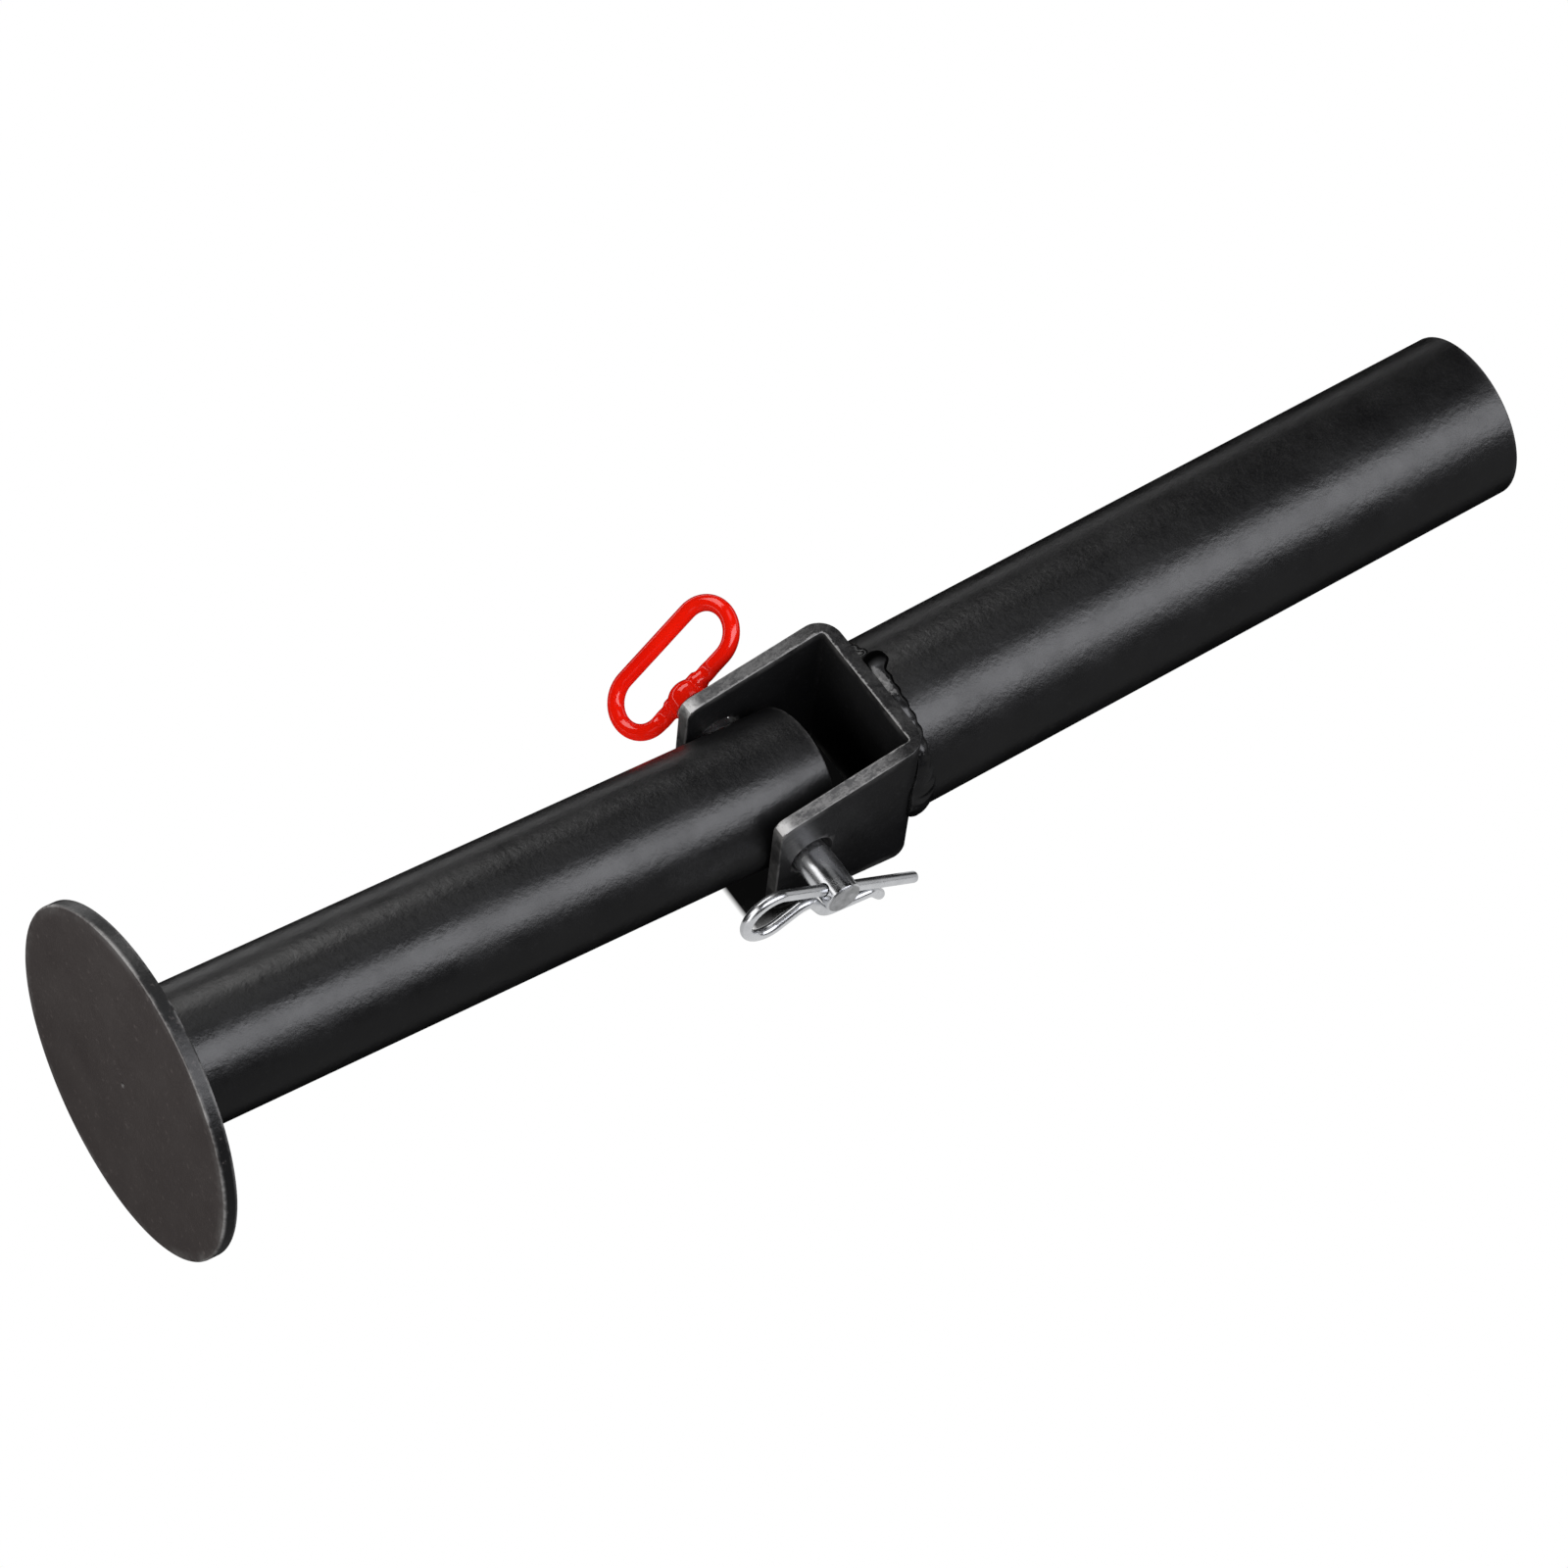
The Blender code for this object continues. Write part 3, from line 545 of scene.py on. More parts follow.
def arc(centre, radius, start, end, steps):
    angles = [start + (end - start) * i / steps for i in range(steps + 1)]
    return [(centre[0] + radius * math.cos(a), centre[1] + radius * math.sin(a)) for a in angles]


def fillet(before, corner, after, radius, steps):
    """The arc that rounds a corner between two straight lines."""
    corner = Vector(corner)
    back = (Vector(before) - corner).normalized()
    ahead = (Vector(after) - corner).normalized()
    half = math.acos(max(-1.0, min(1.0, back.dot(ahead)))) / 2
    centre = corner + (back + ahead).normalized() * radius / math.sin(half)
    start = corner + back * radius / math.tan(half) - centre
    end = corner + ahead * radius / math.tan(half) - centre
    first = math.atan2(start.y, start.x)
    sweep = (math.atan2(end.y, end.x) - first + math.pi) % TURN - math.pi
    return arc(centre, radius, first, first + sweep, steps)


def rounded(points, closed=True):
    """A polyline of (r, x, fillet radius), with each corner rounded by its own radius."""
    out = []
    count = len(points)
    for i, (r, x, radius) in enumerate(points):
        if radius <= 0 or (not closed and i in (0, count - 1)):
            out.append((r, x))
            continue
        before, after = points[i - 1][:2], points[(i + 1) % count][:2]
        out += fillet(before, (r, x), after, radius, FILLET_STEPS)
    return out


def tube(path, radii, sides, closed=False):
    """A rod along planar points (x, y). radii(i) gives its radius across the plane and square to it."""
    verts = []
    count = len(path)
    for i, (x, y) in enumerate(path):
        a = Vector(path[i - 1]) if (closed or i > 0) else Vector(path[0])
        b = Vector(path[(i + 1) % count]) if (closed or i < count - 1) else Vector(path[-1])
        along = (b - a).normalized()
        side = Vector((-along.y, along.x))
        across, up = radii(i)
        for k in range(sides):
            t = TURN * k / sides
            s = across * math.cos(t)
            verts.append((x + side.x * s, y + side.y * s, up * math.sin(t)))
    return verts, loft(count, sides, closed)


def mesh_object(name, verts, faces, matrix=None):
    mesh = bpy.data.meshes.new(name)
    mesh.from_pydata([tuple(v) for v in verts], [], faces)
    bm = bmesh.new()
    bm.from_mesh(mesh)
    bmesh.ops.remove_doubles(bm, verts=bm.verts, dist=MERGE_WITHIN)
    bmesh.ops.recalc_face_normals(bm, faces=bm.faces)
    bm.to_mesh(mesh)
    bm.free()
    if matrix is not None:
        mesh.transform(matrix)
    obj = bpy.data.objects.new(name, mesh)
    bpy.context.scene.collection.objects.link(obj)
    return obj


def turned_y(name, profile, steps, matrix):
    """An object from a profile of (radius, y) turned about the Y axis."""
    verts, faces = spin(profile, steps)
    return mesh_object(name, [(-y, x, z) for x, y, z in verts], faces, matrix)


def drill_profile(radius, half):
    """A plain rod that reaches as far to both sides of its middle."""
    return [(0.0, -half), (radius, -half), (radius, half), (0.0, half)]


def bake_modifiers(obj):
    bpy.context.view_layer.update()
    evaluated = obj.evaluated_get(bpy.context.evaluated_depsgraph_get())
    mesh = bpy.data.meshes.new_from_object(evaluated)
    old = obj.data
    obj.modifiers.clear()
    obj.data = mesh
    mesh.name = obj.name
    if old.users == 0:
        bpy.data.meshes.remove(old)


def combine(obj, other, operation="DIFFERENCE"):
    """Takes the other object out of this one, or joins it on with "UNION", and deletes it."""
    boolean = obj.modifiers.new("combine", "BOOLEAN")
    boolean.operation = operation
    boolean.solver = "EXACT"
    boolean.object = other
    bake_modifiers(obj)
    bpy.data.objects.remove(other, do_unlink=True)


def mark(mesh, name, values, domain="POINT"):
    mesh.attributes.new(name, "FLOAT", domain).data.foreach_set("value", values)


def mark_arrises(mesh):
    bm = bmesh.new()
    bm.from_mesh(mesh)
    values = []
    for v in bm.verts:
        turn = max((e.calc_face_angle_signed(0.0) for e in v.link_edges), default=0.0)
        values.append(clamp((math.degrees(turn) - WEAR_FROM) / (WEAR_FULL - WEAR_FROM)))
    bm.free()
    mark(mesh, "edge", values)


def dress(obj, node, body, mat, sharp=SHARP, weighted=True):
    """Gives a finished mesh its material, its shading and its place in the frame."""
    mesh = obj.data
    mesh.materials.clear()
    mesh.materials.append(mat)
    mark_arrises(mesh)
    mesh.shade_smooth()
    mesh.set_sharp_from_angle(angle=math.radians(sharp))
    if weighted:
        normals = obj.modifiers.new("weighted", "WEIGHTED_NORMAL")
        normals.keep_sharp = True
        normals.weight = NORMAL_WEIGHT
        bake_modifiers(obj)
    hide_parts(node)
    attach(obj, body)


# ---- Pieces

def make_disc(mat):
    outer = -(DISC_INNER_X + DISC_THICKNESS)
    inner = -DISC_INNER_X
    rim = DISC_RADIUS - DISC_SHY
    profile = [
        (0.0, inner, 0.0),
        (POST_RADIUS, inner, 0.0),
        (rim - DISC_FACE_RING, inner, 0.0),
        (rim, inner, DISC_ROUND),
        (rim, inner - DISC_RIM_RING, 0.0),
        (rim, outer + DISC_RIM_RING, 0.0),
        (rim, outer, DISC_ROUND),
        (rim - DISC_FACE_RING, outer, 0.0),
        (DIMPLE_RADIUS + DIMPLE_RING, outer, 0.0),
        (DIMPLE_RADIUS, outer, DIMPLE_EDGE_ROUND),
        (DIMPLE_FLOOR_RADIUS, outer + DIMPLE_DEPTH, DIMPLE_FLOOR_ROUND),
        (0.0, outer + DIMPLE_DEPTH, 0.0),
    ]
    verts, faces = spin(rounded(profile, closed=False), WIDE_SIDES)
    disc = mesh_object("disc", verts, faces)
    mark(disc.data, "rim", [float(v.co.x >= outer + RIM_FROM_FACE) for v in disc.data.vertices])
    disc.data.transform(POST)
    dress(disc, "base_disc", "post", mat)


def weld_noise(angle, across, radius, scale, seed):
    point = Vector((math.cos(angle) * radius, math.sin(angle) * radius, across)) * scale
    return noise.noise(point + Vector((seed, seed, seed)))


def ripple(angle, t, count, crescent):
    """A bead's ripples, from 0 to 1. They lag at both of its sides, where t is 0 and 1."""
    return 0.5 + 0.5 * math.cos(count * angle - crescent * (2 * t - 1) ** 2)


def make_disc_weld(mat):
    root = POST_RADIUS - DISC_WELD_IN_POST
    face = -DISC_INNER_X - DISC_WELD_IN_DISC
    verts = []
    for i in range(DISC_WELD_STEPS):
        angle = TURN * i / DISC_WELD_STEPS
        for k in range(DISC_WELD_ACROSS):
            t = k / (DISC_WELD_ACROSS - 1)
            wave = ripple(angle, t, DISC_WELD_RIPPLES, DISC_WELD_CRESCENT)
            leg = DISC_WELD_LEG - DISC_WELD_RIPPLE_DEPTH * wave * math.sin(math.pi * (0.1 + 0.8 * t))
            grain = weld_noise(
                angle, t * DISC_WELD_GRAIN_ACROSS, POST_RADIUS, DISC_WELD_GRAIN, DISC_WELD_SEED
            )
            leg += DISC_WELD_UNEVEN * grain
            turn = math.pi / 2 * t
            bulge = 0.86 + 0.14 * abs(math.cos(2 * turn))
            r = root + leg * bulge * math.cos(turn)
            x = face + leg * bulge * math.sin(turn)
            verts.append(about_x(r, x, angle))
        verts.append(about_x(root, face, angle))
    weld = mesh_object("disc_bead", verts, loft(DISC_WELD_STEPS, DISC_WELD_ACROSS + 1), POST)
    dress(weld, "disc_weld", "post", mat, WELD_SHARP)


def tube_profile(outer, bore, low, high):
    """The section of a tube's wall, with a ring every few mm so that wear stays near its edge."""
    first = low + TUBE_RING_INSET
    span = high - low - 2 * TUBE_RING_INSET
    rings = [first + span * i / TUBE_STEPS for i in range(TUBE_STEPS + 1)]
    return rounded(
        [(outer, high, TUBE_ROUND)]
        + [(outer, x, 0.0) for x in reversed(rings)]
        + [(outer, low, TUBE_ROUND), (bore, low, TUBE_BORE_ROUND)]
        + [(bore, x, 0.0) for x in rings]
        + [(bore, high, TUBE_BORE_ROUND)]
    )


def make_post(mat):
    low = POST_PAST_PIN - POST_LENGTH
    profile = tube_profile(POST_RADIUS, POST_RADIUS - POST_WALL, low, POST_PAST_PIN)
    verts, faces = spin(profile, WIDE_SIDES, closed=True)
    post = mesh_object("post", verts, faces, POST)
    drill = drill_profile(PIN_HOLE_RADIUS, POST_DRILL_HALF)
    combine(post, turned_y("drill", drill, POST_HOLE_SIDES, POST))
    dress(post, "post_tube", "post", mat)


def ear_half(x):
    """Half the bar's height at x: the ears taper and have rounded corners."""
    share = max(0.0, (BEND_X - x) / (BEND_X + EAR_PAST_PIN))
    half = WEB_HALF - (WEB_HALF - EAR_END_HALF) * share
    from_end = x + EAR_PAST_PIN
    if from_end < EAR_CORNER_RADIUS:
        inset = EAR_CORNER_RADIUS - from_end
        half -= EAR_CORNER_RADIUS - math.sqrt(max(0.0, EAR_CORNER_RADIUS ** 2 - inset ** 2))
    return half


def bend_inner_reach(angle):
    """How far the inside of the U is from the centre of the outer bend, at an angle round that centre."""
    across = WEB_TO_PIN - BEND_X
    flat = across - BEND_INNER_RADIUS
    c, s = math.cos(angle), math.sin(angle)
    if across * min(c, s) <= flat * max(c, s):
        return across / max(c, s)
    along = flat * (c + s)
    return along + math.sqrt(along ** 2 - 2 * flat ** 2 + BEND_INNER_RADIUS ** 2)


def clevis_stations():
    """(inner x, inner y, outer x, outer y, half height) along half the U, from an ear's end to the web."""
    stations = []
    xs = [-EAR_PAST_PIN + EAR_CORNER_RADIUS * i / EAR_CORNER_STEPS for i in range(EAR_CORNER_STEPS + 1)]
    corner = xs[-1]
    xs += [corner + (BEND_X - corner) * i / EAR_STEPS for i in range(1, EAR_STEPS + 1)]
    for x in xs:
        stations.append((x, EAR_INNER_Y, x, EAR_INNER_Y + PLATE, ear_half(x)))
    for i in range(1, BEND_STEPS + 1):
        a = math.pi / 2 * (1 - i / BEND_STEPS)
        c, s, inner, outer = math.cos(a), math.sin(a), bend_inner_reach(a), BEND_OUTER_RADIUS
        inside = (BEND_X + inner * c, BEND_Y + inner * s)
        outside = (BEND_X + outer * c, BEND_Y + outer * s)
        stations.append((*inside, *outside, WEB_HALF))
    for i in range(1, WEB_STEPS + 1):
        y = BEND_Y * (1 - i / WEB_STEPS)
        stations.append((WEB_TO_PIN, y, WEB_TO_PIN + PLATE, y, WEB_HALF))
    return stations


def bent_bar():
    """The clevis with plain sharp edges and no holes."""
    half_u = clevis_stations()
    stations = half_u + [(x, -y, ox, -oy, half) for x, y, ox, oy, half in reversed(half_u[:-1])]
    verts = []
    for x, y, ox, oy, half in stations:
        heights = [-half + 2 * half * k / BAR_STEPS_ACROSS for k in range(BAR_STEPS_ACROSS + 1)]
        verts += [(x, y, z) for z in heights]
        verts += [(ox, oy, -z) for z in heights]
    faces = loft(len(stations), 2 * (BAR_STEPS_ACROSS + 1), closed=False)
    return mesh_object("clevis", verts, faces)


def bevel_arrises(obj, width):
    bevel = obj.modifiers.new("arris", "BEVEL")
    bevel.width = width
    bevel.segments = ARRIS_STEPS
    bevel.limit_method = "ANGLE"
    bevel.angle_limit = math.radians(BEVELLED)
    bevel.use_clamp_overlap = False
    bake_modifiers(obj)


def drill_ears(clevis):
    """A hole through each ear, with a flare on its inside."""
    above_pin = Matrix.Translation((0, 0, EAR_HOLE_RISE))
    for side in (-1, 1):
        flare = [
            (0.0, side * EAR_FLARE_FROM_Y),
            (EAR_HOLE_RADIUS + EAR_HOLE_FLARE, side * EAR_FLARE_FROM_Y),
            (EAR_HOLE_RADIUS, side * EAR_FLARE_TO_Y),
            (EAR_HOLE_RADIUS, side * EAR_DRILL_END_Y),
            (0.0, side * EAR_DRILL_END_Y),
        ]
        combine(clevis, turned_y("drill", flare, EAR_HOLE_SIDES, above_pin))


def roughen_sawn_edges(mesh):
    for v in mesh.vertices:
        if abs(v.co.z) > ear_half(v.co.x) - SAW_BAND:
            lift = noise.noise(v.co * SAW_GRAIN) * SAW_DEPTH
            v.co.z -= math.copysign(abs(lift), v.co.z)


def u_depth(x, y):
    """How far a point is through the bar's thickness: 0 on the inside of the U, 1 on its outside."""
    y = abs(y)
    cx, cy = WEB_TO_PIN - BEND_INNER_RADIUS, EAR_INNER_Y - BEND_INNER_RADIUS
    if x > cx and y > cy:
        depth = math.hypot(x - cx, y - cy) - BEND_INNER_RADIUS
    elif y > cy:
        depth = y - EAR_INNER_Y
    else:
        depth = x - WEB_TO_PIN
    return clamp(depth / PLATE)


def cut_share(face):
    """How much a face counts as cut: the bar's sawn edges wholly, the ears' ends a little, the far end more
    as painted light and the near end less as painted shade.
    """
    if abs(face.normal.z) > FACING:
        return 1.0
    if face.normal.x < -FACING and face.center.x < 0:
        return FAR_END_CUT_LIT if face.center.y > 0 else NEAR_END_CUT_SHADED
    return 0.0


def mark_sawn_edges(mesh):
    corner_z = ear_half(EAR_CORNER_RADIUS - EAR_PAST_PIN)
    bare, through, tips, cut = [], [], [], []
    for v in mesh.vertices:
        x, y, z = v.co
        near_web = clamp((x - BEND_X + BARE_FADE) / BARE_FADE)
        on_ear = BARE_NEAR_EAR if y < 0 else BARE_FAR_EAR
        bare.append(on_ear * (1 - near_web) + BARE_WEB * near_web)
        through.append(u_depth(x, y))
        tips.append(max(0.0, 1.0 - math.hypot(x + EAR_PAST_PIN, abs(z) - corner_z) / TIP_REACH))
    for face in mesh.polygons:
        cut += [cut_share(face)] * face.loop_total
    mark(mesh, "bare", bare)
    mark(mesh, "through", through)
    mark(mesh, "tips", tips)
    mark(mesh, "cut", cut, "CORNER")


def make_clevis(mat):
    clevis = bent_bar()
    bevel_arrises(clevis, BAR_ARRIS)
    drill_ears(clevis)
    roughen_sawn_edges(clevis.data)
    mark_sawn_edges(clevis.data)
    clevis.data.transform(SLEEVE)
    dress(clevis, "clevis_bracket", "sleeve", mat)


def sleeve_weld_section(angle, t):
    """A point (radius, x) of the bead's skin, where t is 0 at the clevis and 1 at the toe on the sleeve."""
    lump = LUMP * math.exp(-(((angle - LUMP_ANGLE) / LUMP_SPREAD) ** 2))
    sway = WELD_SWAY * (math.sin(3 * angle + 0.6) + 0.7 * math.sin(7 * angle)) / 1.7
    wave = ripple(angle, t, WELD_RIPPLES, WELD_CRESCENT)
    toe = SLEEVE_START_X + WELD_LEG + sway - WELD_TOE_RIPPLE * wave + lump
    crown = WELD_RISE * (1 + 0.35 * abs(math.sin(2 * angle))) + lump
    crown += WELD_UNEVEN * weld_noise(angle, t * WELD_GRAIN_ACROSS, SLEEVE_RADIUS, WELD_GRAIN, WELD_SEED)
    skin = crown * math.sin(math.pi * (0.22 + 0.78 * t)) ** 0.75
    skin -= WELD_RIPPLE_DEPTH * wave * math.sin(math.pi * min(1.0, 0.15 + t))
    radius = SLEEVE_RADIUS - WELD_SINK + max(-WELD_MOST_DIP, skin)
    # The clevis's back curves away where the sleeve passes its bends, and the bead starts further in
    past_bend = min(BEND_OUTER_RADIUS, max(0.0, abs(SLEEVE_RADIUS * math.sin(angle)) - BEND_Y))
    start = BEND_X + math.sqrt(BEND_OUTER_RADIUS ** 2 - past_bend ** 2) - WELD_IN_CLEVIS
    start = max(start, SLEEVE_START_X - WELD_NOTCH)
    # The foot of the web rests on the floor, and the bead stays above it
    if math.cos(angle) < 0:
        radius = min(radius, (WEB_HALF - WELD_FLOOR_GAP) / -math.cos(angle))
    return radius, start + (toe - start) * t


def mark_sleeve_weld(mesh):
    """The scraped patch near the top of the bead, and the painted shade on its lump and in the fold along
    its toe.
    """
    bare, crease_shade = [], []
    for v in mesh.vertices:
        angle = math.atan2(v.co.y, v.co.z)
        round_it = 1 - abs(angle - SCRAPE_ANGLE) / SCRAPE_SPREAD
        along_it = 1 - abs(v.co.x - SLEEVE_START_X - SCRAPE_FROM_START) / SCRAPE_REACH
        bare.append(clamp(1.6 * round_it) * clamp(1.6 * along_it))
        from_toe = sleeve_weld_section(angle, 1.0)[1] - v.co.x
        on_lump = 1.4 - abs(angle - LUMP_ANGLE) / LUMP_SPREAD
        at_toe = min(1.0, (TOE_CREASE - from_toe) / TOE_CREASE_FADE)
        at_toe *= max(0.0, 1.3 - abs(angle) / TOE_CREASE_SPREAD)
        crease_shade.append(clamp(max(on_lump, at_toe)))
    mark(mesh, "bare", bare)
    mark(mesh, "crease_shade", crease_shade)


def make_sleeve_weld(mat):
    inside = SLEEVE_RADIUS - WELD_IN_SLEEVE
    root = SLEEVE_RADIUS - WELD_ROOT_DEPTH
    lap = SLEEVE_START_X + WELD_LAP
    verts = []
    for i in range(WELD_STEPS):
        angle = TURN * i / WELD_STEPS
        ring = [sleeve_weld_section(angle, k / (WELD_ACROSS - 1)) for k in range(WELD_ACROSS)]
        ring += [(inside, ring[-1][1]), (inside, lap), (root, lap), (root, ring[0][1])]
        verts += [about_x(r, x, angle) for r, x in ring]
    weld = mesh_object("sleeve_bead", verts, loft(WELD_STEPS, WELD_ACROSS + 4))
    mark_sleeve_weld(weld.data)
    weld.data.transform(SLEEVE)
    dress(weld, "sleeve_weld", "sleeve", mat, WELD_SHARP)


def make_sleeve(mat):
    profile = tube_profile(SLEEVE_RADIUS, SLEEVE_BORE_RADIUS, SLEEVE_START_X, SLEEVE_END_X)
    verts, faces = spin(profile, WIDE_SIDES, closed=True)
    sleeve = mesh_object("sleeve", verts, faces, SLEEVE)
    dress(sleeve, "sleeve_tube", "sleeve", mat)


def make_pin(mat):
    profile = rounded([
        (0.0, PIN_HEAD_Y, 0.0),
        (PIN_RADIUS, PIN_HEAD_Y, PIN_HEAD_ROUND),
        (PIN_RADIUS, PIN_HEAD_Y - PIN_HEAD_RING, 0.0),
        (PIN_RADIUS, PIN_TAIL_Y + PIN_TAIL_RING, 0.0),
        (PIN_RADIUS, PIN_TAIL_Y + PIN_TAIL_CHAMFER, PIN_TAIL_ROUND),
        (PIN_RADIUS - PIN_TAIL_CHAMFER, PIN_TAIL_Y, PIN_TAIL_ROUND),
        (PIN_RADIUS - 2 * PIN_TAIL_CHAMFER, PIN_TAIL_Y, 0.0),
        (0.0, PIN_TAIL_Y, 0.0),
    ], closed=False)
    pin = turned_y("pin", profile, PIN_SIDES, Matrix())
    mark(pin.data, "cut", [float(v.co.y < PIN_TAIL_Y + PIN_SAWN_DEPTH) for v in pin.data.vertices])
    pin.data.transform(SLEEVE)
    for centre, radius in ((CLIP, CLIP_HOLE_RADIUS), (HANDLE, HANDLE_HOLE_RADIUS)):
        verts, faces = spin(drill_profile(radius, CROSS_HOLE_HALF), CROSS_HOLE_SIDES)
        combine(pin, mesh_object("drill", verts, faces, centre))
    dress(pin, "hitch_pin", "pin", mat)
    return pin


def handle_path():
    """The rod's middle line: the side that goes through the pin, a bend, the far side and a bend."""
    right = HANDLE_SHIFT + HANDLE_STRAIGHT / 2
    left = HANDLE_SHIFT - HANDLE_STRAIGHT / 2
    span = right - left
    quarter = math.pi / 2
    near = [(left + span * i / HANDLE_NEAR_STEPS, 0.0) for i in range(HANDLE_NEAR_STEPS + 1)]
    turn_right = arc((right, HANDLE_BEND), HANDLE_BEND, -quarter, quarter, HANDLE_BEND_STEPS)
    far = [(right - span * i / HANDLE_FAR_STEPS, 2 * HANDLE_BEND) for i in range(1, HANDLE_FAR_STEPS)]
    turn_left = arc((left, HANDLE_BEND), HANDLE_BEND, quarter, 3 * quarter, HANDLE_BEND_STEPS)
    return near + turn_right[1:] + far + turn_left[:-1]


def cap_profile():
    """The coating over the pin's head: a dome, a straight side and a rounded skirt."""
    rise = SKIN_END - SKIN_DOME_FROM
    angles = [math.pi / 2 * (1 - i / CAP_DOME_STEPS) for i in range(1, CAP_DOME_STEPS + 1)]
    dome = [(SKIN_RADIUS * math.cos(a), SKIN_DOME_FROM + rise * math.sin(a)) for a in angles]
    return [(0.0, SKIN_END)] + dome + rounded([
        (SKIN_RADIUS, SKIN_DOME_FROM - CAP_DOME_RING, 0.0),
        (SKIN_RADIUS, CAP_SKIRT, CAP_SKIRT_ROUND),
        (0.0, CAP_SKIRT, 0.0),
    ], closed=False)


def make_handle(mat, pin):
    path = handle_path()

    def radii(i):
        x, y = path[i]
        if y > TINY:
            return HANDLE_ROD - HANDLE_SHY, HANDLE_ROD
        press = max(0.0, 1 - ((abs(x) - CRIMP_FROM_PIN) / CRIMP_HALF) ** 2)
        swell = SKIN_SWELL * clamp(1 - (abs(x) - SKIN_RADIUS) / SKIN_FLOW) ** 2
        across = HANDLE_ROD * (1 + CRIMP_SPREAD * press) + swell
        return across, HANDLE_ROD * (1 - CRIMP_FLATTEN * press) + swell

    verts, faces = tube(path, radii, HANDLE_SIDES, closed=True)
    handle = mesh_object("handle", verts, faces)
    combine(handle, turned_y("cap", cap_profile(), CAP_SIDES, Matrix()), "UNION")
    handle.data.transform(HANDLE)
    pin_copy = bpy.data.objects.new("pin_copy", pin.data.copy())
    bpy.context.scene.collection.objects.link(pin_copy)
    combine(handle, pin_copy)
    dress(handle, "pin_handle", "pin", mat, HANDLE_SHARP, weighted=False)
    return handle


def meet(point_a, angle_a, point_b, angle_b):
    """Where two lines cross, each given by a point and its direction."""
    ax, az = math.cos(angle_a), math.sin(angle_a)
    bx, bz = math.cos(angle_b), math.sin(angle_b)
    dx, dz = point_b[0] - point_a[0], point_b[1] - point_a[1]
    along = (dx * bz - dz * bx) / (ax * bz - az * bx)
    return (point_a[0] + along * ax, point_a[1] + along * az)


def clip_path():
    """The wire's middle line: a straight leg, the loop, and a leg that bows over the pin to the throat."""
    shank = PIN_RADIUS + CLIP_WIRE + CLIP_GAP
    centre = (-CLIP_LOOP, CLIP_LOOP_RADIUS)
    loop_end = -3 * math.pi / 2 - CLIP_LOOP_EXIT
    loop = arc(centre, CLIP_LOOP_RADIUS, -math.pi / 2, loop_end, CLIP_LOOP_STEPS)
    rise = (-shank * math.sin(CLIP_BOW_RISE), shank * math.cos(CLIP_BOW_RISE))
    dip = CLIP_BEND * (1 / math.cos(CLIP_BOW_FALL) - 1)
    throat = (CLIP_THROAT, 2 * CLIP_WIRE + CLIP_GAP - dip)
    neck = meet(loop[-1], -CLIP_LOOP_EXIT, rise, CLIP_BOW_RISE)
    bow = meet(rise, CLIP_BOW_RISE, throat, -CLIP_BOW_FALL)
    tail = (throat[0] + CLIP_TAIL * math.cos(CLIP_BOW_FALL), throat[1] + CLIP_TAIL * math.sin(CLIP_BOW_FALL))
    path = [(CLIP_TIP, 0.0)] + loop
    path += fillet(loop[-1], neck, bow, CLIP_BEND, CLIP_NECK_STEPS)
    path += fillet(neck, bow, throat, CLIP_BOW, CLIP_BOW_STEPS)
    path += fillet(bow, throat, tail, CLIP_BEND, CLIP_BOW_STEPS)
    return path + [tail]


def make_clip(mat):
    path = [Vector(p) for p in clip_path()]
    head = (path[1] - path[0]).normalized()
    tail = (path[-2] - path[-1]).normalized()
    start = [path[0] + head * d * MM for d, _ in WIRE_END]
    stop = [path[-1] + tail * d * MM for d, _ in reversed(WIRE_END)]
    points = start + path[1:-1] + stop
    taper = [share for _, share in WIRE_END]
    shares = taper + [1.0] * (len(path) - 2) + taper[::-1]

    def radii(i):
        return CLIP_WIRE * shares[i], CLIP_WIRE * shares[i]

    verts, faces = tube([tuple(p) for p in points], radii, CLIP_SIDES)
    clip = mesh_object("clip", [(x, -z, -y) for x, y, z in verts], faces, CLIP)
    dress(clip, "hairpin_clip", "clip", mat)
    return clip


# ---- Stage, light and camera

# The floor is two half discs that meet behind the part
FLOOR_RADIUS = 8.0
FLOOR_STEPS = 64
FLOOR_Z = -0.05 * MM
FLOOR_SPLIT = (-0.20, 0.24)
FLOOR_SPLIT_TURN = math.radians(20.0)

# Painted shadow on the glowing floor, where the part shuts it in: inside the U, and below the end of
# the near ear. Each patch is (x from, x to), (y from, y to). There, OPENNESS is how open a point's
# surroundings are when the floor is darkest and when it is white.
PAINTED_SHADOW_PATCHES = (
    ((HINGE.x - 20 * MM, HINGE.x + WEB_TO_PIN + 3 * MM), (HINGE.y - 28.5 * MM, HINGE.y + 28.5 * MM)),
    ((HINGE.x - 20 * MM, HINGE.x + 6 * MM), (HINGE.y - 32 * MM, HINGE.y)),
)
SHUT_IN_SOFT = 2.0 * MM
SHUT_IN_REACH = 0.12
SHUT_IN_SAMPLES = 24
OPENNESS = (0.40, 0.70)

CAMERA_AT = (-0.62796, -0.73957, 1.50517)
CAMERA_TURN = (32.7643, -3.6659, -34.1553)
CAMERA_LENS = 122.8645
CAMERA_SENSOR = 36.0
CAMERA_REACH = 50.0


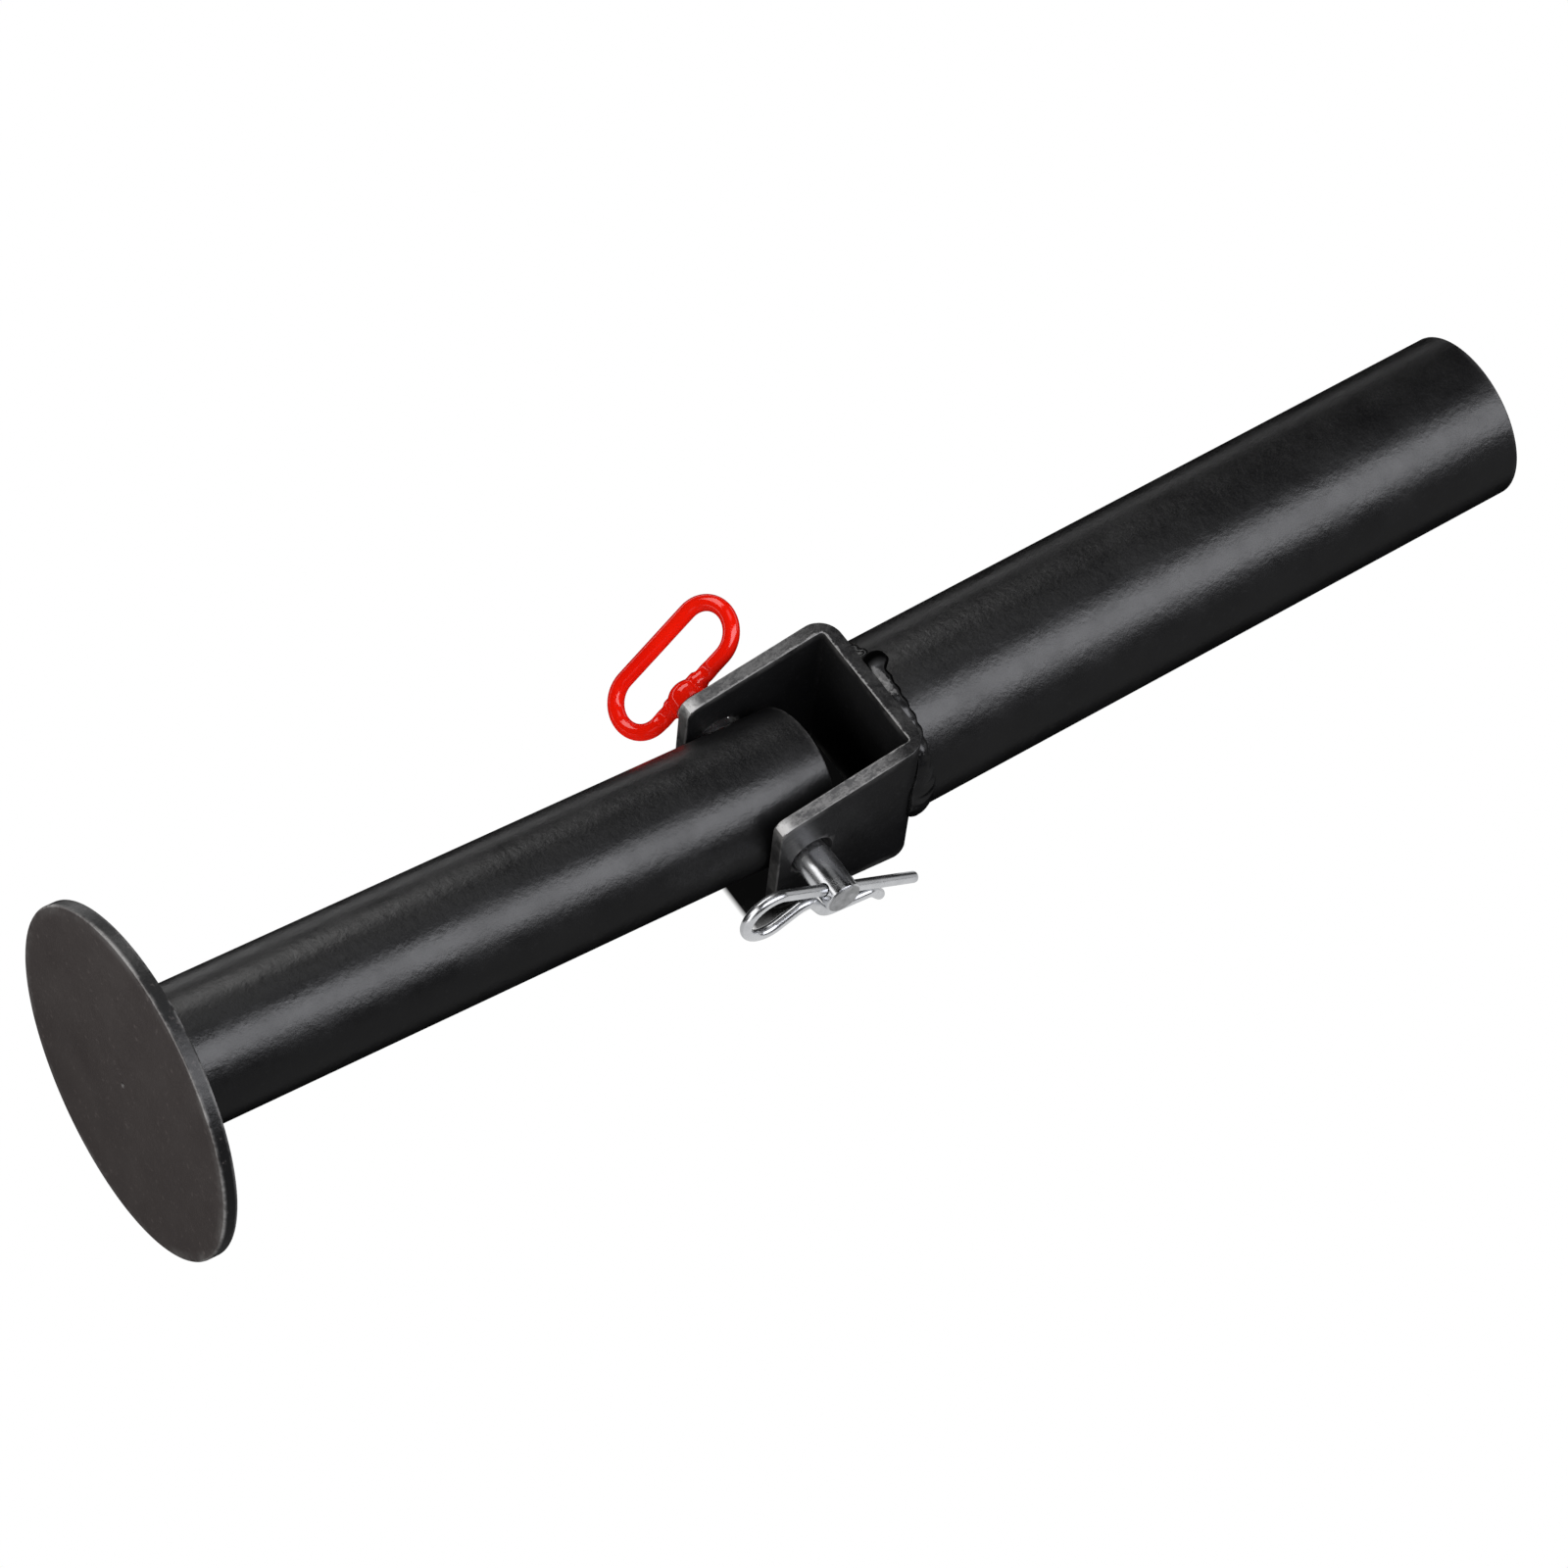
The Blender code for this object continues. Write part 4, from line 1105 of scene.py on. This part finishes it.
def floor_material():
    """A pale floor that shines evenly, with a painted shadow where the part shuts it in."""
    n = Nodes("floor")
    n.tree.nodes.remove(n.shader)
    n.mat.cycles.emission_sampling = "NONE"
    place = n.add("ShaderNodeSeparateXYZ", Vector=n.coords)
    under = 0.0
    for patch in PAINTED_SHADOW_PATCHES:
        inside = 1.0
        for axis, (low, high) in zip("XY", patch):
            for start, end in ((low, low + SHUT_IN_SOFT), (high, high - SHUT_IN_SOFT)):
                inside = n.times(inside, n.ranged(place.outputs[axis], start, end))
        under = n.math("MAXIMUM", under, inside)
    # Painted shadow: the floor goes from white to black as its surroundings close in
    surroundings = n.add("ShaderNodeAmbientOcclusion", Distance=SHUT_IN_REACH)
    surroundings.samples = SHUT_IN_SAMPLES
    shade = n.mixed(n.ranged(surroundings.outputs["AO"], *OPENNESS), PAINTED_SHADE_BLACK, WHITE)
    plain = n.add("ShaderNodeEmission", Color=(*WHITE, 1.0), Strength=1.0)
    shaded = n.add("ShaderNodeEmission", Color=shade, Strength=1.0)
    both = n.tree.nodes.new("ShaderNodeMixShader")
    n.feed(both.inputs[0], under)
    n.feed(both.inputs[1], plain.outputs[0])
    n.feed(both.inputs[2], shaded.outputs[0])
    n.feed(n.tree.nodes["Material Output"].inputs["Surface"], both.outputs[0])
    return n.mat


def make_stage():
    """The floor. Glossy surfaces see its back half, and a dark room in place of its front half."""
    mat = floor_material()
    for name, start in (("floor_back", 0.0), ("floor_front", math.pi)):
        first = start + FLOOR_SPLIT_TURN
        rim = arc(FLOOR_SPLIT, FLOOR_RADIUS, first, first + math.pi, FLOOR_STEPS)
        floor = mesh_object(name, [(x, y, FLOOR_Z) for x, y in rim], [tuple(range(len(rim)))])
        floor.data.materials.append(mat)
        floor.visible_glossy = name == "floor_back"
        floor.visible_diffuse = False


def area_light(name, at, size, radiance, colour=WHITE, aim=(0.0, 0.0, 0.03), along=(1.0, 0.0, 0.0)):
    """A soft box. size is (along, across); radiance is its brightness, where 1 is the picture's white."""
    data = bpy.data.lights.new(name, "AREA")
    data.shape = "RECTANGLE"
    data.size, data.size_y = size
    data.color = colour
    data.energy = radiance * math.pi * size[0] * size[1]
    light = bpy.data.objects.new(name, data)
    back = (Vector(at) - Vector(aim)).normalized()
    right = (Vector(along) - back * back.dot(Vector(along))).normalized()
    up = back.cross(right)
    turn = Matrix((right, up, back)).transposed().to_4x4()
    light.matrix_world = Matrix.Translation(at) @ turn
    light.visible_camera = False
    bpy.context.scene.collection.objects.link(light)
    return light


def wall_light(name, x, z, size, radiance, colour=WHITE):
    """An upright light that faces the part along the X axis."""
    return area_light(
        name, (x, 0.0, z), size, radiance, colour, aim=(0.0, 0.0, z), along=(0.0, 1.0, 0.0)
    )


def floor_light(name, at, size, radiance):
    """A light just above the floor that faces straight up."""
    return area_light(name, at, size, radiance, aim=(at[0], at[1], 1.0))


def make_lights():
    """The lights on every piece. The left wall is returned, because one piece is kept out of it."""
    area_light("key_strip", (0.42, -0.93, 1.11), (2.1, 1.0), 2.3, COOL_WHITE, along=(1.0, -0.14, -0.20))
    area_light("back_strip", (-0.08, 0.90, 0.87), (1.06, 0.6), 1.8, WARM_WHITE)
    left_wall = wall_light("left_wall", -1.3, 0.72, (2.0, 1.5), 1.75, WARM_WHITE)
    wall_light("right_wall", 1.4, 0.25, (1.4, 0.5), 0.5)
    area_light("top_fill", (0.26, 0.24, 1.3), (0.70, 0.45), 0.50)
    floor_light("floor_dim", (0.0, -0.65, 0.0005), (2.4, 1.2), 0.10)
    top_soft = area_light("top_soft", (0.6, 0.8, 1.7), (1.2, 0.9), 0.6)
    top_soft.visible_glossy = False
    return left_wall


def make_world():
    """A white backdrop for the camera alone, which lights nothing."""
    world = bpy.data.worlds.new("studio")
    world.use_nodes = True
    backdrop = world.node_tree.nodes["Background"]
    backdrop.inputs["Color"].default_value = (*WHITE, 1.0)
    backdrop.inputs["Strength"].default_value = 1.0
    bpy.context.scene.world = world
    world.cycles_visibility.diffuse = False
    world.cycles_visibility.glossy = False


def shine_only_on(light, pieces):
    seen_by = bpy.data.collections.new(light.name + "_pieces")
    for obj in pieces:
        seen_by.objects.link(obj)
    light.light_linking.receiver_collection = seen_by


def keep_off(light, piece):
    spared = bpy.data.collections.new(light.name + "_spared")
    spared.objects.link(piece)
    spared.collection_objects[0].light_linking.link_state = "EXCLUDE"
    light.light_linking.receiver_collection = spared


def make_cards(plated, handle):
    """The light that a white floor throws up, and a soft light from above on the red coating."""
    card = floor_light("floor_card", (0.0, -0.5, 0.001), (2.2, 1.3), 0.6)
    shine_only_on(card, plated)
    under = floor_light("red_under", (0.0, 0.0, 0.001), (1.6, 1.6), 1.3)
    over = area_light("red_over", (-0.5, -0.6, 1.4), (1.2, 1.2), 3.4)
    for light in (under, over):
        light.visible_glossy = False
        shine_only_on(light, (handle,))


def make_camera():
    data = bpy.data.cameras.new("camera")
    data.sensor_width = CAMERA_SENSOR
    data.lens = CAMERA_LENS
    data.clip_end = CAMERA_REACH
    camera = bpy.data.objects.new("camera", data)
    camera.location = CAMERA_AT
    camera.rotation_euler = [math.radians(a) for a in CAMERA_TURN]
    bpy.context.scene.collection.objects.link(camera)
    bpy.context.scene.camera = camera


def main():
    make_camera()
    make_stage()
    left_wall = make_lights()
    make_world()
    bpy.context.scene.view_settings.view_transform = "Standard"

    tubes = powder_coat("satin_black", TUBE_COAT, rough=(0.29, 0.41))
    disc = powder_coat("disc_black", DISC_FACE_COAT_AND_LIGHT, rough=(0.34, 0.42), worn=DISC_WORN, gloss=0.8, rim=DISC_RIM)
    bracket = powder_coat("bracket_black", BRACKET_COAT, rough=(0.32, 0.42), gloss=0.55, cut_edges=True)
    bead = weld_coat("bead_black")
    plated = bright_plate("zinc")
    red = red_dip("red_dip")

    make_disc(disc)
    make_disc_weld(bead)
    make_post(tubes)
    make_clevis(bracket)
    make_sleeve_weld(bead)
    make_sleeve(tubes)
    pin = make_pin(plated)
    handle = make_handle(red, pin)
    clip = make_clip(plated)
    make_cards((pin, clip), handle)
    keep_off(left_wall, handle)


main()
